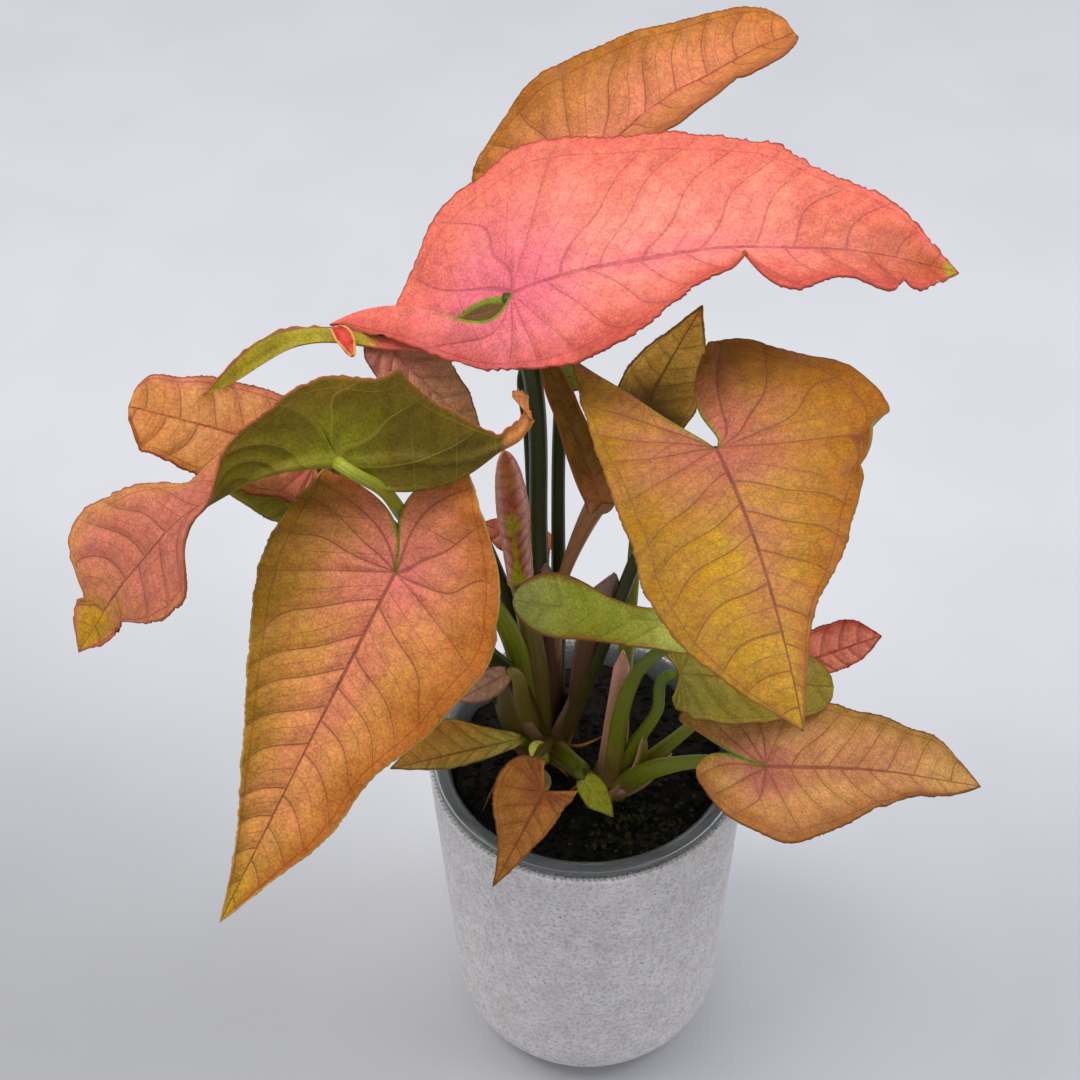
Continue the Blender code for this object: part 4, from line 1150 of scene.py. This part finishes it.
# A petiole is its points up to its leaf, and its radii
PETIOLES = {
    "left": {
        "big_pink_blade": (((-9, 4, 88), (-9, 4, 106), (-9.8, 3, 154), (-10.3, 2, 198)),
                           (2.4, 1.9, 1.8, 1.5)),
        "top_blade": (((-7.5, 7, 88), (-6, 8, 131), (-5, 16, 176)), (2.4, 1.5, 1.4, 1.1)),
        "twisted_blade": (((-11, 3, 88), (-17, -4, 136), (-26, -12, 162), (-34.5, -23.5, 187),
                           (-37.5, -29, 199)), (3.2, 1.8, 1.4, 1.2, 1.3)),
        "gold_left_blade": (((-11, 5, 88), (-24, 0, 131), (-46, -3, 176)), (2.4, 1.4, 1.1, 0.8)),
        "pale_left_blade": (((-11, 5, 88), (-26, -4, 125), (-43, -12, 162)), (2.0, 1.2, 1.0, 0.8)),
        "tan_left_blade": (((-10, 6, 88), (-17, 4, 137), (-30, 6, 180)), (2.2, 1.4, 1.1, 0.9)),
        "front_left_blade": (((-10, 2, 88), (-16, -5, 121), (-29, -20, 156)), (2.8, 1.7, 1.3, 1.1)),
        "right_blade": (((-7, 4, 90), (-3, 0, 104), (4, -5, 134), (10, -9, 162), (18, -18, 190)),
                        (3.0, 1.7, 1.5, 1.3, 1.2, 1.1)),
        "rolled_blade": (((-8, 6, 88), (-7, 3, 125), (-5, 2, 144)), (2.2, 1.5, 1.2, 2.4, 2.8)),
        "low_left_blade": (((-11, 4, 92), (-13, -1, 98)), (2.0, 1.5, 1.0)),
        "small_tan_blade": (((-11, 3, 90), (-14, -5, 112)), (2.6, 1.6, 0.8)),
        "new_blade": (((-10, 3, 88), (-11, 0, 118)), (2.8, 2.4, 1.0)),
        "small_orange_blade": (((-9, 6, 88), (-9, 12, 118)), (2.2, 1.2, 0.7)),
        "under_pink_blade": (((-9.5, 8, 102), (-11, 7.3, 150), (-11.5, 9, 178)), (1.1, 1.0, 0.9, 0.7)),
        "small_front_blade": (((-9, 3, 91), (-10, -8, 101), (-11.5, -22, 112)), (2.2, 1.1, 0.8, 0.7)),
        "small_green_blade": (((-8, 2, 91), (-4, -6, 95), (-1, -12, 98)), (2.0, 1.6, 1.2, 0.7)),
    },
    "right": {
        "olive_behind_blade": (((5, -8, 88), (8, -6, 131), (10, -1, 165)), (2.2, 1.5, 1.1, 0.9)),
        "low_right_blade": (((6, -9, 88), (16, -21, 110), (27, -26, 117)), (3.0, 1.6, 1.3, 1.1)),
        "pink_right_blade": (((7, -8, 88), (17, -9, 102), (30, -4, 111)), (2.4, 1.4, 1.1, 0.7)),
        "green_under_blade": (((5, -9, 88), (8, -17, 130), (14, -26, 152)), (2.4, 1.4, 1.2, 0.9)),
        "olive_right_blade": (((6, -8, 88), (10, -13, 108), (14, -17.5, 124)), (2.4, 1.4, 1.2, 0.9)),
    },
}
# A sheath is its points, its radii, the way that it opens and its finish
SHEATHS = {
    "left": (
        (((-11, 3, 88), (-15, 1, 106), (-18, -1, 126)), (4.8, 5.2, 1.6), (1, 0.5, 0.2), "olive_sheath"),
        (((-8, 5, 88), (-4, 3, 106), (1, -1, 130)), (4.2, 3.4, 1.0), (-1, 0.3, 0.2), "olive_sheath"),
        (((-3, 0, 106), (1, -4, 138), (4.5, -5, 155)), (1.2, 2.4, 2.4), (-0.3, 1, 0), "grey_sheath"),
        (((-9, 5, 96), (-8, 4, 122), (-8.5, 3.5, 149)), (2.4, 2.2, 1.8), (0, 1, 0), "grey_sheath"),
    ),
    "right": (
        (((5, -8, 88), (6, -10, 112), (7, -11, 137)), (3.0, 2.2, 1.2), (0, 1, 0.2), "pink_sheath"),
        (((6, -9, 88), (10, -13, 103), (11, -15, 117)), (3.2, 2.4, 0.6), (-1, 0.4, 0.2), "green_sheath"),
        (((6, -9, 88), (12, -14, 99), (17, -17, 110)), (3.0, 2.2, 0.6), (-0.4, 0.2, 1), "pink_sheath"),
    ),
}
OTHER_STALKS = {"twisted_blade": "pale_stalk", "rolled_blade": "tan_stalk", "small_front_blade": "runner",
                "new_blade": "runner", "small_tan_blade": "runner", "green_under_blade": "fresh_stalk",
                "olive_behind_blade": "fresh_stalk"}
TALL_ABOVE = 150
STALK_FACE = (0, -0.8, 0.6)
CROWNS = {"left": (-9, 5), "right": (5, -8)}
CROWN_POINTS = ((0, 0, -8), (0, 0, 2), (0, 0, 9))
CROWN_RADII = (3.6, 4.6, 3.4)
STALK_RIDGES = 11
STALK_END = 0.8
STALK_STEP = 0.9
SHEATH_WALL = 0.4
SHEATH_POINT = 6
SHEATH_STEP = 0.8
SHEATH_COLUMNS = 22
FOOT_WRAP = radians(230)
TOP_WRAP = radians(130)
RUNNER = ((-9, 1, 90), (-7, -2.5, 91.5), (-2, -6, 90), (5, -9, 87.5))
STUB = ((-9.5, 1.5, 88), (-10.8, -5, 94), (-11.2, -9, 102.5))
ROOTS = (
    ((-12, 0, 88), (-19, -5, 88.5), (-22, -10, 88), (-24, -14, 86)),
    ((-10, 0, 88), (-6, -3, 87.6), (-4, -5, 86)),
    ((-6, 4, 88), (-2, 2, 89.5), (1, 4, 88.5), (4, 7, 87)),
    ((2, -8, 89), (-3, -9, 88.5), (-6, -12, 87)),
)
# A finish is its colour at the foot, in the middle and at the top, and at a sheath's margins
STALK_COLOURS = {
    "tall_stalk": ("604c22", "2e3402", "3e4a04"),
    "fresh_stalk": ("8c6a38", "6c720e", "546a08"),
    "pale_stalk": ("6e6028", "7c8010", "969c2c"),
    "tan_stalk": ("54421c", "966840", "b47a4c"),
    "olive_sheath": ("7c5e3c", "4c420e", "604e24", "8c6854"),
    "grey_sheath": ("544222", "60422c", "967668", "8c6a54"),
    "pink_sheath": ("826e32", "b08260", "dc9e88", "d69c88"),
    "green_sheath": ("82702c", "7a7018", "8c7632", "b08c5a"),
    "runner": ("605422", "68581e", "827032"),
    "cut_stub": ("969628", "bebc28", "d6ce54"),
    "root": ("78481a", "8c541e", "5a3614"),
}


def stalk_material(name, foot, middle, top, edge=None):
    """Fleshy stalk with fine lengthwise ridges."""
    material, wire = new_material(name)
    where = wire.object_place()
    share, across, _ = wire.attribute("stalk")
    share = (wire.noise(where, 7, 3, 0.6) - 0.5) * 0.25 + share
    colour = wire.mix(wire.step(share, 0.02, 0.35), foot, middle)
    colour = wire.mix(wire.step(share, 0.6, 1.0), colour, top)
    if edge:
        colour = wire.mix(wire.step(abs(across), 0.65, 0.95), colour, edge)
    ridges = wire.math("SINE", across * (2 * pi * STALK_RIDGES))
    fine = wire.noise(where, 0.6, 3, 0.6)
    shade = ridges * 0.05 + wire.step(fine, 0.3, 0.7, 0.88, 1.12)
    colour = wire.node("ShaderNodeHueSaturation", {"Color": colour, "Value": shade})
    wire.dress(colour, wire.step(fine, 0.25, 0.75, 0.32, 0.5), 0.3, ridges * 0.4 + fine, 0.4, 0.15)
    return material


STALKS = {name: stalk_material(name, *colours) for name, colours in STALK_COLOURS.items()}


def length_of(points):
    return np.linalg.norm(np.diff(np.array(points, float), axis=0), axis=1).sum()


def route(points, share):
    """Smooth way through unevenly spaced points, at shares of its length, and the share of the
    points that it has passed there."""
    points = np.array(points, float)
    legs = np.diff(points, axis=0)
    lengths = np.linalg.norm(legs, axis=1)
    ways = unit(legs)
    ways = np.concatenate([ways[:1], unit(ways[:-1] + ways[1:]), ways[-1:]])
    ends = np.concatenate([[0], np.cumsum(lengths)])
    reached = share * ends[-1]
    i = np.clip(np.searchsorted(ends, reached, side="right") - 1, 0, len(legs) - 1)
    x = (reached - ends[i]) / lengths[i]
    leg = lengths[i][:, None]
    centre = hermite(points[i], points[i + 1], leg * ways[i], leg * ways[i + 1], x[:, None])
    return centre, (i + x) / len(legs)


def stalk_frame(points, share, facing):
    """Points along a stalk, the ways to its side and to where it faces, and the points passed."""
    centre, knot = route(points, share)
    along = unit(np.gradient(centre, axis=0))
    side = unit(np.cross(along, facing))
    return centre[:, None], side[:, None], np.cross(side, along)[:, None], knot


def lay_grid(rows, columns, surface, finish, wall=0):
    """A plain grid laid on a surface, which gives points for each row and column and their shares."""
    obj, row, column = plain_grid("stalk", rows, columns)
    points, share, across = surface(np.linspace(0, 1, rows + 1), np.linspace(0, 1, columns + 1))
    lay(obj, points[row, column], stalk=(share[row], across[column], 0 * share[row]))
    weld(0.01)
    if wall:
        apply_modifier(obj, "SOLIDIFY", thickness=wall * MM, offset=0)
    obj.data.materials.append(STALKS[finish])
    bpy.ops.object.shade_smooth()
    return obj


def make_stalk(points, radii, finish, sides=18, groove=0.18):
    """A round stalk that closes at both ends, with a shallow channel on the side that it faces."""
    length = length_of(points)

    def surface(share, around):
        centre, side, front, knot = stalk_frame(points, share, STALK_FACE)
        angle = (2 * pi * around)[None, :, None]
        ends = np.sqrt(np.clip(np.minimum(share, 1 - share) * length / STALK_END, 0, 1))
        radius = (through(radii, knot) * ends)[:, None, None] * (1 - groove * bump_at(angle, pi / 2, 0.5))
        return centre + (side * np.cos(angle) + front * np.sin(angle)) * radius, share, around

    return lay_grid(max(8, int(length / STALK_STEP)), sides, surface, finish)


def make_sheath(points, radii, opens, finish):
    """A thin sheath that wraps round, open on one side, and runs out into a point."""
    length = length_of(points)

    def surface(share, across):
        centre, side, front, knot = stalk_frame(points, share, opens)
        wrap = FOOT_WRAP * (1 - share)[:, None, None] + TOP_WRAP * share[:, None, None]
        x = (2 * across - 1)[None, :, None]
        point = np.clip((1 - share) * length / SHEATH_POINT, 0, 1)[:, None, None] ** 0.7
        radius = through(radii, knot)[:, None, None] * (1 + 0.12 * x * x)
        turn = x * wrap / 2 * point
        return centre + (side * np.sin(turn) - front * np.cos(turn)) * radius, share, 2 * across - 1

    return lay_grid(max(12, int(length / SHEATH_STEP)), SHEATH_COLUMNS, surface, finish, SHEATH_WALL)


def make_shoot(side):
    x, y = CROWNS[side]
    crown = [(x + a, y + b, SOIL_LEVEL + c) for a, b, c in CROWN_POINTS]
    pieces = [make_stalk(crown, CROWN_RADII, "olive_sheath", sides=24)]
    for leaf, (points, radii) in PETIOLES[side].items():
        usual = "tall_stalk" if seats[leaf][1][2] > TALL_ABOVE else "fresh_stalk"
        finish = OTHER_STALKS.get(leaf, usual)
        pieces.append(make_stalk([*points, *seats[leaf]], radii, finish))
    return pieces + [make_sheath(*sheath) for sheath in SHEATHS[side]]


def dress_shoot(name, pieces, node):
    shoot = join(*pieces)
    shoot.name = name
    settle(shoot, slot="petiole", nodes=[node])


left_shoot = make_shoot("left")
left_shoot.append(make_stalk(RUNNER, (1.6, 1.5, 1.7, 2.0), "runner"))
left_shoot.append(make_stalk(STUB, (1.8, 1.8, 2.0), "cut_stub", groove=0))
for points in ROOTS:
    left_shoot.append(make_stalk(points, (0.5, 0.42, 0.3, 0.15), "root", sides=8, groove=0))
dress_shoot("left_stalks", left_shoot, "shoot_left")
dress_shoot("right_stalks", make_shoot("right"), "shoot_right")


# Moss
# Small tufts of olive moss, which grew on the peat beside the right shoot. Each is a ring of
# short pointed blades that lean outwards.
TUFTS = 260
TUFT_BLADES = 7
MOSS_RADIUS = 0.16
MOSS_LENGTH = 1.3
MOSS_LEANS = (35, 45, 55)
MOSS_SINK = 0.2
MOSS_CENTRE = (10, -16)
MOSS_SPREAD = (6, 6)


def moss_material():
    material, wire = new_material("moss")
    cloudy = wire.noise(wire.object_place(), 2.5, 3, 0.6)
    colour = wire.mix(wire.step(cloudy, 0.35, 0.7), "28280c", "54501e")
    wire.dress(colour, wire.step(cloudy, 0.3, 0.7, 0.6, 0.8))
    return material


def make_moss(draw):
    blades = []
    for i in range(TUFT_BLADES):
        turn = (radians(MOSS_LEANS[i % 3]), 0, 2 * pi * i / TUFT_BLADES)
        deselect()
        bpy.ops.mesh.primitive_cone_add(vertices=4, radius1=MOSS_RADIUS * MM, depth=MOSS_LENGTH * MM,
                                        rotation=turn)
        blade = named("moss_blade")
        blade.location = Matrix.Rotation(turn[2], 3, "Z") @ Vector((0, -0.35 * MM, 0.5 * MM))
        place(blade)
        blades.append(blade)
    tuft = join(*blades)
    places = []
    for x, y in draw.normal(MOSS_CENTRE, MOSS_SPREAD, (TUFTS, 2)):
        if (x * x + y * y) ** 0.5 < LOOSE_EDGE:
            places.append((x, y, soil_height(x, y) - MOSS_SINK))
    return scatter("moss", tuft, places, draw.uniform(0.5, 1.2, len(places)), (0.8, 1.2), draw, tilt=0.3)


settle(make_moss(np.random.default_rng(8)), moss_material(), slot="petiole")


# Studio
# A pale floor with a painted shadow that darkens it towards the front left, two large lamps above the plant,
# at its left and its right, and the camera where the photograph was taken from.
FLOOR_SIZE = 6000
FLOOR_SHADE = 0.64
SHADE_FRONT = -110
SHADE_BACK = 130
SHADE_SLANT = 0.6
SKY_LIGHT = 0.7
LAMP_SIZE = 450
LAMP_AIM = (0, 0, 120)
CAMERA_PLACE = (-9.6, -290.5, 440.7)
CAMERA_DOWN = radians(44.3)
CAMERA_ROLL = radians(1.3)
LENS = 66.67
SENSOR = 36.0


def floor_material():
    material, wire = new_material("paper_floor")
    where = wire.object_place()
    across, back, _ = wire.parts(where)
    colour = wire.mix(wire.step(wire.noise(where, 60), 0.3, 0.7), "d7d8dc", "dbdce0")
    # Painted shadow: the floor's colour is darkened towards the front and the left, where the plant's soft
    # shadow falls.
    shade = wire.step(across * SHADE_SLANT + back, SHADE_FRONT * MM, SHADE_BACK * MM, FLOOR_SHADE, 1.0)
    wire.dress(wire.mix(1.0, colour, shade, blend="MULTIPLY"), 0.6, 0.2)
    return material


def add_lamp(name, place_mm, power, colour):
    bpy.ops.object.light_add(type="AREA", location=Vector(place_mm) * MM)
    lamp = named(name)
    lamp.data.shape = "DISK"
    lamp.data.size = LAMP_SIZE * MM
    lamp.data.energy = power
    lamp.data.color = linear(colour)[:3]
    lamp.rotation_euler = (Vector(LAMP_AIM) - Vector(place_mm)).to_track_quat("-Z", "Y").to_euler()


deselect()
bpy.ops.mesh.primitive_plane_add(size=FLOOR_SIZE * MM)
floor = named("paper_floor")
floor.data.materials.append(floor_material())

world = bpy.data.worlds.new("soft_light")
world.use_nodes = True
world.node_tree.nodes["Background"].inputs["Color"].default_value = linear("e8eaf0")
world.node_tree.nodes["Background"].inputs["Strength"].default_value = SKY_LIGHT
bpy.context.scene.world = world
add_lamp("key_lamp", (-420, -80, 950), 4.6, "fffcf8")
add_lamp("fill_lamp", (480, -80, 900), 2.8, "fafbff")

bpy.ops.object.camera_add(location=Vector(CAMERA_PLACE) * MM)
camera = named("photo_camera")
ahead = Matrix.Rotation(pi / 2 - CAMERA_DOWN, 3, "X")
roll = Matrix.Rotation(-CAMERA_ROLL, 3, "Z")
camera.rotation_euler = (ahead @ roll).to_euler()
camera.data.lens = LENS
camera.data.sensor_width = SENSOR
bpy.context.scene.camera = camera
bpy.context.scene.view_settings.view_transform = "Standard"
